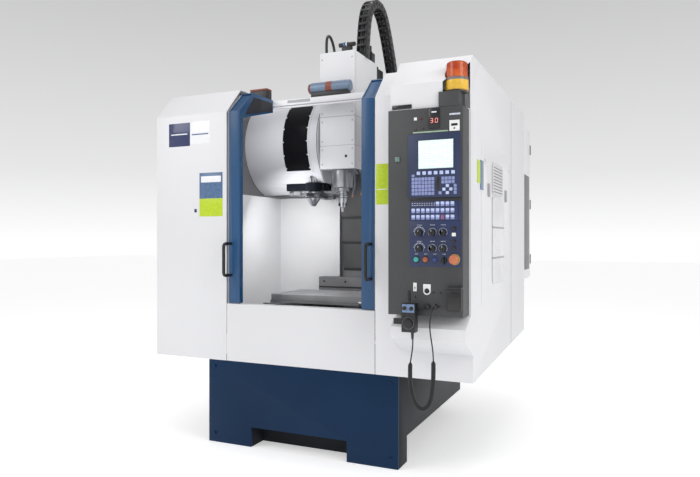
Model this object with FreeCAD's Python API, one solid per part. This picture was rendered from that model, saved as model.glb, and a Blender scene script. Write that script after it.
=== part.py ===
import FreeCAD, Part
import math
import os

os.makedirs("parts", exist_ok=True)
V = FreeCAD.Vector

# ---- Driving sizes, in mm. x across, y to the rear from the front cover, z up from the floor ----
FORE_Y = -250.0          # front of the hand-wheel unit's dial, the furthest forward point
REAR_Y = 1850.0          # back of the cabinet handle, the furthest point to the rear
SHIFT_Y = -(REAR_Y + FORE_Y) / 2
HALF_W = 945.0           # covers, half width
COVER_LOW = 465.0        # lower edge of the covers
FRONT_TOP = 1864.0       # where the front turns into the slope
ROOF_Z = 2014.0
SLOPE_Y = 141.0          # depth of the slope
SIDE_Y = 1539.0          # back of the side covers
SHEET = 3.0              # cover sheet
EDGE_GAP = 9.0           # control box inside the outer face of the covers
DOOR_DROP = 23.0         # top of the doors under the roof
OPEN_HALF = 448.0        # door opening, half width
SILL_Z = 785.0
BASE_HALF = 570.0
BASE_FRONT = 16.0
BASE_REAR = 1243.0
BASE_UNDER = 133.0
BED_TOP = 600.0
FOOT_HOLE_R = 11.0
FOOT_X = 340.0
FOOT_Y = (76.0, 1173.0)
TABLE_TOP = 825.0
TABLE_HALF = 310.0
TABLE_Y = (250.0, 630.0)
TABLE_T = 50.0
SLOT_W = 14.0            # T-slot mouth
SLOT_PITCH = 100.0
SADDLE_TOP = 735.0
RAIL_Y = (340.0, 540.0)  # cross rails
RAIL_W_X = 24.0
RAIL_H = 25.0
SCREW_X_R = 14.0
SCREW_Y_R = 16.0
SCREW_Z_R = 18.0
SCREW_Z = 745.0          # height of the cross screw
SHOE_GAP = 3.0           # shoe above the face that carries the rail
SPINDLE_Y = 580.0
SPINDLE_R = 30.0
SLIDE_GAP = 0.5          # guide shoe to rail
RUN_GAP = 0.05           # turning fits, radial
COL_HALF = 230.0
COL_Y = (922.0, 1240.0)
COL_TOP = 2150.0
PLATE_HALF = 145.0       # widest plate of the cover in front of the column
DRUM_Y = 797.0
DRUM_Z = 1750.0
DRUM_R = 317.0
DRUM_X = (-650.0, -125.0)
POTS = 16
POT_R = 31.0
POT_DEPTH = 72.0         # pot ring inside the drum's outer face
ARM = (-200.0, 580.0)
ARM_LEN = 200.0
ARM_R = 22.0
TOOL_FLANGE_R = 31.5
GRIP_GAP = 2.0           # tool flange to the jaws of the arm
CORD_THIN_R = 3.25
COIL_R = 11.0


def box(x0, x1, y0, y1, z0, z1):
    return Part.makeBox(x1 - x0, y1 - y0, z1 - z0, V(x0, y0, z0))


def rod(x, y, z, r, h, d=(0, 0, 1)):
    return Part.makeCylinder(r, h, V(x, y, z), V(*d))


def prism_x(x0, x1, yz):
    pts = [V(x0, y, z) for y, z in yz]
    face = Part.Face(Part.makePolygon(pts + [pts[0]]))
    return face.extrude(V(x1 - x0, 0, 0))


def prism_z(z0, z1, xy):
    pts = [V(x, y, z0) for x, y in xy]
    face = Part.Face(Part.makePolygon(pts + [pts[0]]))
    return face.extrude(V(0, 0, z1 - z0))


def join(first, *others):
    shape = first
    for o in others:
        shape = shape.fuse(o)
    return shape.removeSplitter()


def cut(shape, *tools):
    for t in tools:
        shape = shape.cut(t)
    return shape


def mirror(shape):
    return shape.mirror(V(0, 0, 0), V(1, 0, 0))


def save(name, *solids):
    moved = []
    for s in solids:
        c = s.copy()
        c.translate(V(0, SHIFT_Y, 0))
        moved.extend(c.Solids)
    shape = moved[0] if len(moved) == 1 else Part.makeCompound(moved)
    shape.exportStep("parts/" + name + ".step")


# ---- Base: ribbed iron bed on a front plinth and two rear feet, with a painted front plate ----
bed = box(-BASE_HALF, BASE_HALF, BASE_FRONT, BASE_REAR, BASE_UNDER, COVER_LOW)
bed = bed.fuse(box(-380, 380, 100, BASE_REAR, COVER_LOW, BED_TOP))
for x0, x1 in ((-545, -305), (-275, -10), (10, 275), (305, 545)):
    for y0, y1 in ((136, 500), (520, 870), (890, 1215)):
        bed = bed.cut(box(x0, x1, y0, y1, BASE_UNDER, COVER_LOW - 30))
for x0, x1 in ((-355, -70), (70, 355)):
    bed = bed.cut(box(x0, x1, 136, 1100, COVER_LOW - 30, BED_TOP - 40))
bed = bed.fuse(box(-BASE_HALF, BASE_HALF, BASE_FRONT, 136, 0, BASE_UNDER + 20))
bed = bed.cut(box(-288, 288, BASE_FRONT, 126, 0, 108))
for side in (-1, 1):
    bed = bed.fuse(box(side * 340 - 90, side * 340 + 90, 1103, BASE_REAR, 0, BASE_UNDER + 20))
for side in (-1, 1):
    for y in FOOT_Y:
        bed = bed.cut(rod(side * FOOT_X, y, 0, FOOT_HOLE_R, 60))
bed = bed.cut(box(-45, 45, 100, 905, BED_TOP - 40, BED_TOP))
save("base_casting", bed.removeSplitter())
plate = box(-BASE_HALF, BASE_HALF, 0, BASE_FRONT, 0, COVER_LOW)
save("base_apron", plate.cut(box(-288, 288, 0, BASE_FRONT, 0, 108)))

# ---- Column: hollow iron, with a slot down its front for the vertical screw ----
col = box(-COL_HALF, COL_HALF, COL_Y[0], COL_Y[1], BED_TOP, COL_TOP)
for z0, z1 in ((625, 1100), (1125, 1600), (1625, 2125)):
    col = col.cut(box(-205, 205, 1020, 1215, z0, z1))
col = col.cut(box(-50, 50, COL_Y[0], 995, 700, COL_TOP))
col = col.fuse(box(45, 135, 1190, 1300, COL_TOP, COL_TOP + 30))
save("column", col.removeSplitter())

# ---- Fixed guide rails: two along the bed, two up the column ----
rails = []
for side in (-1, 1):
    rails.append(box(side * 250 - 15, side * 250 + 15, 130, 910, BED_TOP, BED_TOP + 30))
    rails.append(box(side * 120 - 15, side * 120 + 15, 892, COL_Y[0], 1180, 2145))
save("fixed_rails", *rails)

# ---- Ball screws: lengthways on the bed, up the column and across the saddle ----
save("y_screw", rod(0, 132, BED_TOP + 2, SCREW_Y_R, 760, (0, 1, 0)))
save("z_screw", rod(0, 950, 700, SCREW_Z_R, COL_TOP - 705))
# ---- Fixed motors: lengthways feed motor at the front of the bed, vertical feed motor on the column ----
y_motor = box(-37, 37, 20, 99, BED_TOP - 35, BED_TOP + 39)
y_motor = join(y_motor, rod(0, 99, BED_TOP + 2, 20, 32.9, (0, 1, 0)))
z_motor = box(-60, 60, 1000, 1120, COL_TOP, COL_TOP + 150)
z_motor = join(z_motor, box(-60, 60, 900, 1120, COL_TOP, COL_TOP + 14))
save("fixed_motors", y_motor, z_motor)

# ---- Saddle: rides lengthways on four shoes, carries the cross rails and the cross screw ----
saddle = box(-420, 420, 270, 610, 640, SADDLE_TOP)
for side in (-1, 1):
    for y0 in (280, 520):
        shoe = box(side * 250 - 40, side * 250 + 40, y0, y0 + 80, 603, 640)
        groove = 15 + SLIDE_GAP
        slot = box(side * 250 - groove, side * 250 + groove, y0, y0 + 80, 603, 630 + SLIDE_GAP)
        saddle = saddle.fuse(shoe.cut(slot))
nut = box(-35, 35, 400, 480, 577, 640)
nut = nut.cut(rod(0, 400, BED_TOP + 2, SCREW_Y_R + RUN_GAP, 80, (0, 1, 0)))
saddle = saddle.fuse(nut).cut(box(-420, 420, 405, 475, 712, SADDLE_TOP))
for y in RAIL_Y:
    saddle = saddle.fuse(box(-415, 415, y - RAIL_W_X / 2, y + RAIL_W_X / 2, SADDLE_TOP, SADDLE_TOP + RAIL_H))
UNDER = TABLE_TOP - TABLE_T
for x in (-410, 396):
    saddle = saddle.fuse(box(x, x + 14, 405, 475, 712, UNDER - SHOE_GAP))
    saddle = saddle.cut(rod(x, 440, SCREW_Z, SCREW_X_R + RUN_GAP, 14, (1, 0, 0)))
save("saddle", saddle.removeSplitter())
save("x_screw", rod(-410, 440, SCREW_Z, SCREW_X_R, 820, (1, 0, 0)))
save("x_motor", box(420, 520, 395, 485, SADDLE_TOP - 52, SADDLE_TOP + 37))

# ---- Table: T-slotted plate on four shoes with the cross nut ----
table = box(-TABLE_HALF, TABLE_HALF, TABLE_Y[0], TABLE_Y[1], TABLE_TOP - TABLE_T, TABLE_TOP)
for step in (-1, 0, 1):
    y = (TABLE_Y[0] + TABLE_Y[1]) / 2 + step * SLOT_PITCH
    table = table.cut(box(-TABLE_HALF, TABLE_HALF, y - SLOT_W / 2, y + SLOT_W / 2, TABLE_TOP - 16, TABLE_TOP))
    foot = SLOT_W / 2 + 6
    table = table.cut(box(-TABLE_HALF, TABLE_HALF, y - foot, y + foot, TABLE_TOP - 28, TABLE_TOP - 15))
for x in (-180, 180):
    for y in RAIL_Y:
        low = SADDLE_TOP + SHOE_GAP
        groove = RAIL_W_X / 2 + SLIDE_GAP
        shoe = box(x - 45, x + 45, y - 32, y + 32, low, UNDER)
        slot = box(x - 45, x + 45, y - groove, y + groove, low, SADDLE_TOP + RAIL_H + SLIDE_GAP)
        table = table.fuse(shoe.cut(slot))
nut = box(-45, 45, 410, 470, 722, UNDER)
table = table.fuse(nut.cut(rod(-45, 440, SCREW_Z, SCREW_X_R + RUN_GAP, 90, (1, 0, 0))))
save("table", table.removeSplitter())

# ---- Head: iron casting on the column rails, white cover, spindle housing, spindle motor ----
casting = box(-100, 100, 510, 866, 1572, 2060)
casting = casting.cut(rod(0, SPINDLE_Y, 1572, SPINDLE_R + 15, 488))
casting = casting.cut(box(-75, 75, 665, 840, 1600, 2060))
back = box(-165, 165, 866, 889, 1580, 2060)
casting = casting.fuse(back)
for side in (-1, 1):
    for z0 in (1585, 1960):
        shoe = box(side * 120 - 38, side * 120 + 38, 889, 918, z0, z0 + 90)
        groove = 15 + SLIDE_GAP
        slot = box(side * 120 - groove, side * 120 + groove, 892 - SLIDE_GAP, 918, z0, z0 + 90)
        casting = casting.fuse(shoe.cut(slot))
lug = box(-32, 32, 889, 985, 1780, 1860)
casting = casting.fuse(lug.cut(rod(0, 950, 1780, SCREW_Z_R + RUN_GAP, 80)))
save("head_casting", casting.removeSplitter())
cover = box(-115, 115, 500, 865, 1572, 2280).cut(box(-112, 112, 503, 865, 1572, 2277))
hose_ports = rod(60, 800, 2270, 18, 20)
save("head_cover", cover.cut(hose_ports))
housing = rod(0, SPINDLE_Y, 1461, 67, 111).fuse(rod(0, SPINDLE_Y, 1440, SPINDLE_R + 13, 21))
housing = housing.fuse(rod(0, SPINDLE_Y, 1572, SPINDLE_R + 15, 330))
housing = housing.cut(rod(0, SPINDLE_Y, 1440, SPINDLE_R + RUN_GAP, 500))
save("spindle_housing", housing.removeSplitter())
motor = rod(0, SPINDLE_Y, 2060, 74, 190).fuse(box(-85, 85, 515, 655, 2060, 2075))
save("spindle_motor", motor.cut(rod(0, SPINDLE_Y, 2060, SPINDLE_R + RUN_GAP, 60)))
spin = rod(0, SPINDLE_Y, 1436, SPINDLE_R, 660).fuse(rod(0, SPINDLE_Y, 1402, TOOL_FLANGE_R, 34))
spin = spin.fuse(Part.makeCone(20, 28, 62, V(0, SPINDLE_Y, 1340), V(0, 0, 1)))
spin = spin.fuse(rod(0, SPINDLE_Y, 1315, 8, 30))
save("spindle", spin.removeSplitter())

# ---- Telescopic cover in front of the column: three moving plates and the fixed block behind the bed ----
SEGS = (("z_cover_1", PLATE_HALF, 868, 1280, 1571), ("z_cover_2", PLATE_HALF - 7, 874, 1115, 1400),
        ("z_cover_3", PLATE_HALF - 18, 880, 940, 1235))
for name, half, y, z0, z1 in SEGS:
    save(name, box(-half, half, y, y + 3, z0, z1))
block = box(-275, 275, 800, 860, BED_TOP, 897).cut(box(-272, 272, 803, 860, BED_TOP, 894))
block = block.fuse(box(-135, 135, 860, 889, 880, 883)).fuse(box(-135, 135, 886, 889, 880, 955))
for x, w, top in ((-250, 17, 632), (250, 17, 632), (0, 22, 622)):
    block = block.cut(box(x - w, x + w, 799, 804, BED_TOP, top))
save("way_cover", block.removeSplitter())

# ---- Energy chain: from the head top up, over and down to the rear ----
half = 35.0
chain = [(690, 2286), (702, 2430), (742, 2590), (820, 2665), (920, 2700), (1010, 2650),
         (1080, 2560), (1150, 2440), (1215, 2310), (1268, 2195)]
outer = []
inner = []
for i, (y, z) in enumerate(chain):
    a = chain[max(i - 1, 0)]
    b = chain[min(i + 1, len(chain) - 1)]
    n = math.hypot(b[0] - a[0], b[1] - a[1])
    ny, nz = -(b[1] - a[1]) / n, (b[0] - a[0]) / n
    w = 27.0
    outer.append((y + ny * w, z + nz * w))
    inner.append((y - ny * w, z - nz * w))
top = max(z for _, z in outer)
lift = 2700.0 - top
loop = [(y, z + lift if 0 < i < len(outer) - 1 else z) for i, (y, z) in enumerate(outer)]
loop_in = [(y, z + lift if 0 < i < len(inner) - 1 else z) for i, (y, z) in enumerate(inner)]
save("energy_chain", prism_x(90 - half, 90 + half, loop + loop_in[::-1]))

# ---- Covers: folded sheet, left and right, each a side, a front strip, the slope and a roof ----
T = SHEET
side_yz = [(0, COVER_LOW), (0, FRONT_TOP), (SLOPE_Y, ROOF_Z), (SIDE_Y, ROOF_Z), (SIDE_Y, 519)]


def slope(x0, x1):
    return prism_x(x0, x1, [(0, FRONT_TOP), (SLOPE_Y, ROOF_Z), (SLOPE_Y + 4, ROOF_Z - T), (T, FRONT_TOP - 3)])


def side_shell():
    shell = prism_x(HALF_W - T, HALF_W, side_yz)
    shell = shell.fuse(box(HALF_W, HALF_W + 2, 180, 919, 820, 1640))
    for y, z in ((229, 1544), (896, 1550)):
        shell = shell.fuse(rod(HALF_W + 2, y, z, 9, 13, (1, 0, 0)))
    shell = shell.fuse(box(0.5, HALF_W - T, SIDE_Y - T, SIDE_Y, 519, ROOF_Z))
    return shell


left = mirror(side_shell())
left = left.fuse(box(-HALF_W, -OPEN_HALF - T, 0, T, COVER_LOW, FRONT_TOP))
left = left.fuse(slope(-HALF_W, -OPEN_HALF - T))
left = left.fuse(box(-HALF_W, -655, SLOPE_Y, SIDE_Y, ROOF_Z - T, ROOF_Z))
left = left.fuse(box(-655, -OPEN_HALF - T, SLOPE_Y, 465, ROOF_Z - T, ROOF_Z))
left = left.fuse(box(-655, -0.5, 1310, SIDE_Y, ROOF_Z - T, ROOF_Z))
save("cover_left", left.removeSplitter())
right = side_shell()
right = right.fuse(box(OPEN_HALF - 3 + T, 585, 0, T, COVER_LOW, FRONT_TOP))
right = right.fuse(box(585, HALF_W, 0, T, COVER_LOW, 595))
right = right.fuse(slope(OPEN_HALF - 3 + T, 585))
right = right.fuse(box(OPEN_HALF - 3 + T, HALF_W, SLOPE_Y, SIDE_Y, ROOF_Z - T, ROOF_Z))
right = right.fuse(box(0.5, OPEN_HALF, 1310, SIDE_Y, ROOF_Z - T, ROOF_Z))
save("cover_right", right.removeSplitter())
sill = box(-OPEN_HALF, OPEN_HALF - 3, 0, T, COVER_LOW, SILL_Z)
sill = sill.fuse(box(-OPEN_HALF, OPEN_HALF - 3, 0, 60, SILL_Z - T, SILL_Z))
save("cover_sill", sill.removeSplitter())

# ---- Inner panels: side walls, back walls and chip pans round the work space ----
inner = []
for side, top in ((-1, 1425), (1, 1850)):
    wall = box(600, 603, 62, 860, 606, top)
    wall = wall.fuse(box(278, 603, 857, 860, 606, top)).fuse(box(386, 603, 62, 860, 606, 609))
    wall = wall.fuse(box(PLATE_HALF + 3, 278, 857, 860, 898, top))
    inner.append(wall if side > 0 else mirror(wall))
save("inner_panels", *inner)

# ---- Door beam across the top of the opening, with its feet on the roof edge ----
BEAM = (ROOF_Z - 59, ROOF_Z - 24)
beam = box(-650, 650, 378, 440, *BEAM).cut(box(-647, 647, 381, 437, BEAM[0] + SHEET, BEAM[1] - SHEET))
save("door_beam", beam)

# ---- Console: white housing, lamp notch, dark control box ----
out_yz = [(0, 595), (-150, 680), (-150, 735), (-45, 793), (-45, 1752), (-150, 1752), (-150, FRONT_TOP + 6),
          (-10, ROOF_Z), (SLOPE_Y, ROOF_Z), (0, FRONT_TOP)]
in_yz = [(0, 599), (-147, 682), (-147, 733), (-42, 791), (-42, 1755), (-147, 1755), (-147, FRONT_TOP + 5),
         (-9, ROOF_Z - T), (SLOPE_Y - 3, ROOF_Z - T), (0, FRONT_TOP + 1)]
house = prism_x(585, HALF_W, out_yz).cut(prism_x(588, HALF_W - T, in_yz))
CUT = [(HALF_W - 111, -151), (HALF_W + 1, -151), (HALF_W + 1, -44)]
LAMP = (HALF_W - 52, -100.0)
corner = prism_z(1745, ROOF_Z + 1, CUT).fuse(rod(LAMP[0], LAMP[1], 1745, 55, 400))
corner = corner.fuse(box(LAMP[0] - 72, LAMP[0] + 25, -152, -46, 1745, 1820))
save("console_housing", house.cut(corner).Solids[0])
PANEL_Y = -160.0
BOX_EDGE = HALF_W - EDGE_GAP
cbox = box(578, BOX_EDGE, PANEL_Y, -46, 793, 1751).cut(box(581, BOX_EDGE - 3, PANEL_Y + 5, -49, 796, 1748))
DIALS = [(x, z) for z in (1178, 1104) for x in (731, 793, 844)]
for x, z in DIALS:
    cbox = cbox.cut(rod(x, PANEL_Y - 1, z, 3 + RUN_GAP, 10, (0, 1, 0)))
BUTTONS = (("button_start", 717, 1053), ("button_hold", 761, 1053))
for name, x, z in BUTTONS:
    cbox = cbox.cut(rod(x, PANEL_Y - 1, z, 12 + RUN_GAP, 10, (0, 1, 0)))
ESTOP = (898, 1055)
ESTOP_R = 22.0
cbox = cbox.cut(rod(ESTOP[0], PANEL_Y - 1, ESTOP[1], 11 + RUN_GAP, 10, (0, 1, 0)))
cbox = cbox.fuse(rod(808, PANEL_Y - 26, 836, 11, 26, (0, 1, 0)))
save("control_box", cbox.removeSplitter())
save("screen_unit", box(676, 927, PANEL_Y - 6, PANEL_Y, 1338, 1633))
save("key_panel", box(690, 915, PANEL_Y - 3, PANEL_Y, 1232, 1322))
for i, (x, z) in enumerate(DIALS):
    knob = rod(x, PANEL_Y - 17, z, 15, 16, (0, 1, 0)).fuse(rod(x, PANEL_Y - 1, z, 3, 8, (0, 1, 0)))
    knob = knob.fuse(box(x - 2, x + 2, PANEL_Y - 21, PANEL_Y - 17, z - 13, z + 13))
    save("dial_" + str(i + 1), knob.removeSplitter())
for name, x, z in BUTTONS:
    save(name, rod(x, PANEL_Y - 9, z, 12, 14, (0, 1, 0)))
cap = rod(ESTOP[0], PANEL_Y - 34, ESTOP[1], ESTOP_R, 14, (0, 1, 0))
cap = cap.fuse(rod(ESTOP[0], PANEL_Y - 20, ESTOP[1], 11, 26, (0, 1, 0)))
save("estop", cap.removeSplitter())

# ---- Signal lamp: bracket, yellow base, ribbed dome ----
lamp = box(LAMP[0] - 71, LAMP[0] + 24, -160, -48, 1752, 1820)
lamp = lamp.cut(box(LAMP[0] - 69, LAMP[0] + 22, -158, -50, 1752, 1818))
lamp = lamp.fuse(rod(LAMP[0], LAMP[1], 1820, 46, 8)).fuse(rod(LAMP[0], LAMP[1], 1828, 52, 57))
save("lamp_base", lamp.removeSplitter())
dome = rod(LAMP[0], LAMP[1], 1885, 49, 77).cut(rod(LAMP[0], LAMP[1], 1885, 46, 73))
save("lamp_dome", dome)

# ---- Hand-wheel unit on its bracket, with the curly cord as a tube of the coil's outer size ----
hook = box(672, 733, -194, -190, 740, 850).fuse(box(616, 672, -194, -188, 753, 781))
hook = hook.fuse(box(685, 720, -190, PANEL_Y, 800, 840))
save("pendant_bracket", hook.removeSplitter())
unit = box(670, 735, -236, -194, 724, 855)
PKNOBS = (("pendant_dial", 702, 765, 22, 14), ("pendant_axis", 686, 833, 9, 12),
          ("pendant_rate", 719, 833, 9, 12))
for name, x, z, r, h in PKNOBS:
    unit = unit.cut(rod(x, -236, z, 3 + RUN_GAP, 10, (0, 1, 0)))
unit = unit.fuse(rod(701, -215, 855, 6, 60))
save("pendant", unit.removeSplitter())
for name, x, z, r, h in PKNOBS:
    front = FORE_Y if name == "pendant_dial" else -236.5 - h
    knob = rod(x, front, z, r, -236.5 - front, (0, 1, 0)).fuse(rod(x, -236.5, z, 3, 9, (0, 1, 0)))
    save(name, knob.removeSplitter())


def tube(points, r):
    spline = Part.BSplineCurve()
    spline.interpolate([V(*p) for p in points])
    path = Part.Wire([spline.toShape()])
    ring = Part.Circle(V(*points[0]), spline.tangent(spline.FirstParameter)[0], r)
    return Part.Wire([ring.toShape()]), path


def swept(points, r):
    ring, path = tube(points, r)
    return path.makePipeShell([ring], True, True)


CORD_A = [(716, -215, 723.2), (720, -218, 670), (714, -220, 620), (706, -220, 585)]
CORD_COIL = [(706, -220, 585), (707, -222, 480), (728, -223, 400), (768, -224, 372), (803, -223, 405),
             (815, -221, 480), (817, -220, 603)]
CORD_B = [(817, -220, 603), (812, -222, 665), (799, -221, 736), (799, -219, 790), (807, -212, 828),
          (808, -186.6, 838)]
save("pendant_cord", swept(CORD_A, CORD_THIN_R), swept(CORD_COIL, COIL_R), swept(CORD_B, CORD_THIN_R))
print("cord radii in mm: thin", CORD_THIN_R, "coil outside", COIL_R)

# ---- Doors: blue leading edge, white sheet with a window, handle on the edge ----
WIN = (475, 800, 1080, 1660)
GRIP_OUT = 62.0
GRIP_R = 9.0
DOOR_TOP = ROOF_Z - DOOR_DROP


def band(x0, x1, depth, lip):
    outer = [(8, 789), (8, FRONT_TOP), (SLOPE_Y + 5, DOOR_TOP), (369, DOOR_TOP), (369, DOOR_TOP - lip),
             (8 + depth, FRONT_TOP - depth), (8 + depth, 789)]
    return prism_x(x0, x1, outer)


def door():
    edge = band(369, 439, 34, 75)
    edge = edge.cut(box(373, 435, 12, 400, 793, DOOR_TOP - 7))
    edge = edge.fuse(box(373, 435, 8, 12, 789, FRONT_TOP - 2))
    top = DOOR_TOP - 6
    bend = SLOPE_Y + 7
    skin = [(14, 789), (14, FRONT_TOP - 2), (bend, top), (365, top), (365, top - SHEET),
            (bend + 1, top - SHEET), (14 + SHEET, FRONT_TOP - 4), (14 + SHEET, 789)]
    panel = prism_x(435, 835, skin)
    panel = panel.cut(box(WIN[0], WIN[1], 14, 17, WIN[2], WIN[3]))
    body = edge.fuse(panel)
    return body.fuse(prism_x(373, 435, skin))


def handle(x):
    grip = rod(x, -GRIP_OUT, 933, GRIP_R, 200)
    for z in (945, 1121):
        grip = grip.fuse(rod(x, -GRIP_OUT, z, GRIP_R, GRIP_OUT + 8, (0, 1, 0)))
    return grip


save("door_right", door().fuse(handle(420)).removeSplitter())
save("door_left", mirror(door()).fuse(handle(-426)).removeSplitter())
glass = box(WIN[0] - 15, WIN[1] + 15, 17, 22, WIN[2] - 15, WIN[3] + 15)
save("glass_right", glass)
save("glass_left", mirror(glass))

# ---- Tool magazine: frame, cover drum, disc of pots with tools, change arm and its drive ----
DRUM_L = DRUM_X[1] - DRUM_X[0]
shell = rod(DRUM_X[0], DRUM_Y, DRUM_Z, DRUM_R, DRUM_L, (1, 0, 0))
shell = shell.cut(rod(DRUM_X[0] + SHEET, DRUM_Y, DRUM_Z, DRUM_R - SHEET, DRUM_L - 2 * SHEET, (1, 0, 0)))
shell = shell.cut(box(-245, -120, 850, 1200, 1400, 2100)).cut(box(-650, -120, 400, 1200, 1400, 1440))
shell = shell.cut(box(-610, -575, DRUM_Y + DRUM_R - 64, 1200, 1630, 1870))
shell = shell.cut(box(-411, -120, 400, 690, 1400, 1500))
shell = shell.cut(rod(ARM[0], ARM[1], 1400, ARM_R + 2, 220))
shell = shell.cut(box(-236, -186, 600, 930, 1400, 1507))
save("magazine_cover", shell.Solids[0])
frame = box(-600, -585, 640, 1180, 1640, 1860).fuse(box(-600, -COL_HALF, 1130, 1180, 1640, 1860))
frame = frame.fuse(rod(-585, DRUM_Y, DRUM_Z, 30, 95, (1, 0, 0))).fuse(box(-640, -600, 755, 840, 1708, 1792))
drive = box(-405, ARM[0] + 62, ARM[1] + 17, ARM[1] + 90, 1455, 1500).fuse(rod(ARM[0], ARM[1], 1450, 48, 50))
drive = drive.fuse(box(-COL_HALF, -192, ARM[1] + 80, COL_Y[0], 1455, 1500))
drive = drive.cut(rod(ARM[0], ARM[1], 1450, ARM_R + RUN_GAP, 50))
save("magazine_frame", frame.removeSplitter(), drive.removeSplitter())
POT_RING = DRUM_R - POT_DEPTH
disc = rod(-500, DRUM_Y, DRUM_Z, 60, 60, (1, 0, 0))
disc = disc.fuse(rod(-440, DRUM_Y, DRUM_Z, POT_RING + 17, 14, (1, 0, 0)))
for i in range(POTS):
    a = 2 * math.pi * i / POTS
    y, z = DRUM_Y + POT_RING * math.cos(a), DRUM_Z + POT_RING * math.sin(a)
    disc = disc.fuse(rod(-426, y, z, POT_R, 62, (1, 0, 0))).fuse(rod(-364, y, z, 15, 60, (1, 0, 0)))
disc = disc.cut(rod(-500, DRUM_Y, DRUM_Z, 30 + RUN_GAP, 20, (1, 0, 0)))
save("magazine_disc", disc.cut(rod(-481, DRUM_Y, DRUM_Z, 31, 60, (1, 0, 0))).removeSplitter())
hub = rod(ARM[0], ARM[1], 1398, ARM_R, 202)
hub = hub.fuse(Part.makeCone(14, 46, 50, V(ARM[0], ARM[1], 1353), V(0, 0, 1)))
hub = hub.fuse(rod(ARM[0], ARM[1], 1432, 34, 12))
save("arm_hub", hub.removeSplitter())
JAW = TOOL_FLANGE_R + GRIP_GAP
arm = rod(0, 0, 1406, 46, 22).fuse(box(-26, 26, -ARM_LEN, ARM_LEN, 1406, 1428))
ring = rod(0, 0, 1405, ARM_LEN + JAW, 24).cut(rod(0, 0, 1405, ARM_LEN - JAW, 24))
for s in (-1, 1):
    arm = arm.fuse(rod(0, s * ARM_LEN, 1406, JAW + 19.5, 22))
for s in (-1, 1):
    arm = arm.cut(rod(0, s * ARM_LEN, 1405, JAW, 24))
    mouth = box(0, 90, -ARM_LEN - 60, -ARM_LEN + 60, 1405, 1429).common(ring)
    arm = arm.cut(mouth if s < 0 else mouth.rotate(V(0, 0, 0), V(0, 0, 1), 180))
arm = arm.cut(rod(0, 0, 1405, ARM_R + RUN_GAP, 24))
arm.translate(V(ARM[0], ARM[1], 0))
save("tool_arm", arm)

# ---- Electrical cabinet at the back: case, drive rack, door, handle ----
CAB = (40.0, HALF_W - 3, SIDE_Y + 2, 1820.0, 870.0, 1936.0)
case = box(*CAB).cut(box(CAB[0] + 2, CAB[1] - 2, CAB[2] + 2, CAB[3], CAB[4] + 2, CAB[5] - 2))
save("electrical_cabinet", case)
rack = box(80, 900, CAB[2] + 2, CAB[2] + 5, 900, 1900)
for i in range(5):
    rack = rack.fuse(box(110 + 155 * i, 235 + 155 * i, CAB[2] + 5, 1740, 1400, 1780))
for i in range(3):
    rack = rack.fuse(box(120 + 260 * i, 320 + 260 * i, CAB[2] + 5, 1650, 960, 1220))
save("drive_rack", rack.removeSplitter())
cdoor = box(CAB[0], CAB[1], CAB[3] + 1, 1838, CAB[4], CAB[5])
cdoor = cdoor.cut(box(CAB[0] + 2, CAB[1] - 2, CAB[3] + 1, 1836, CAB[4] + 2, CAB[5] - 2))
cdoor = cdoor.fuse(box(85, 115, 1828, 1836, 1380, 1430)).cut(rod(100, 1820, 1405, 6 + RUN_GAP, 20, (0, 1, 0)))
save("cabinet_door", cdoor.removeSplitter())
grip = rod(100, 1830, 1405, 6, 10, (0, 1, 0)).fuse(box(88, 112, 1840, REAR_Y, 1340, 1420))
save("cabinet_handle", grip.removeSplitter())
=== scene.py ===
import math
import bpy
import bmesh
from mathutils import Matrix, Vector


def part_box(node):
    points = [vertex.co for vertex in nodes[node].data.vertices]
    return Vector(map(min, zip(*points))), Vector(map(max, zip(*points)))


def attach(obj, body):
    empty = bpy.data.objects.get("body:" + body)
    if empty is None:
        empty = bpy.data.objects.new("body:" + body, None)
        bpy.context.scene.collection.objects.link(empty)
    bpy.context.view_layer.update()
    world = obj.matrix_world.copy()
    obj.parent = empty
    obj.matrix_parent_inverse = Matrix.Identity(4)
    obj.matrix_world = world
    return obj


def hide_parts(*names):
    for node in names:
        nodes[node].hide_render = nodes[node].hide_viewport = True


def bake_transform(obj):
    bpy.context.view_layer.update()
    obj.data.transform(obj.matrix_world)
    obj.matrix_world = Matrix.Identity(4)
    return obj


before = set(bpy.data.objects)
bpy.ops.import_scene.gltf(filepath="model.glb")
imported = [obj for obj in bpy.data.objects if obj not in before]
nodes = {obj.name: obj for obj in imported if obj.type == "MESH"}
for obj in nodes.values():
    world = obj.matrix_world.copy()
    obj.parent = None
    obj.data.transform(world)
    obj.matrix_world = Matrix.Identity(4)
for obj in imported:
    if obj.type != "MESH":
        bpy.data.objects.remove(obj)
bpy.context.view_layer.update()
bpy.ops.object.select_all(action="DESELECT")

# ---- Floor, light and camera ----
# A pale studio floor that runs out to a bright wall, three large soft lights, two small lights inside
# the machine, and a level camera in front of the right-hand corner of the machine.
bpy.ops.mesh.primitive_grid_add(x_subdivisions=4, y_subdivisions=4, size=60, location=(0, 0, -0.0005))
floor = bpy.context.object
floor.name = "studio_floor"
floor_paint = bpy.data.materials.new("studio_floor_paint")
floor_paint.use_nodes = True
floor_shader = floor_paint.node_tree.nodes["Principled BSDF"]
floor_shader.inputs["Base Color"].default_value = (0.9, 0.9, 0.905, 1)
floor_shader.inputs["Roughness"].default_value = 0.75
floor_shader.inputs["Emission Color"].default_value = (1, 1, 1, 1)
floor_shader.inputs["Emission Strength"].default_value = 0.42
floor.data.materials.append(floor_paint)
room = bpy.data.worlds.new("studio_room")
bpy.context.scene.world = room
room.use_nodes = True
sky = room.node_tree.nodes
sky_in = sky.new("ShaderNodeTexCoord")
sky_split = sky.new("ShaderNodeSeparateXYZ")
sky_ramp = sky.new("ShaderNodeValToRGB")
sky_ramp.color_ramp.elements[0].position = 0.0
sky_ramp.color_ramp.elements[0].color = (1.0, 1.0, 1.0, 1)
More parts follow.
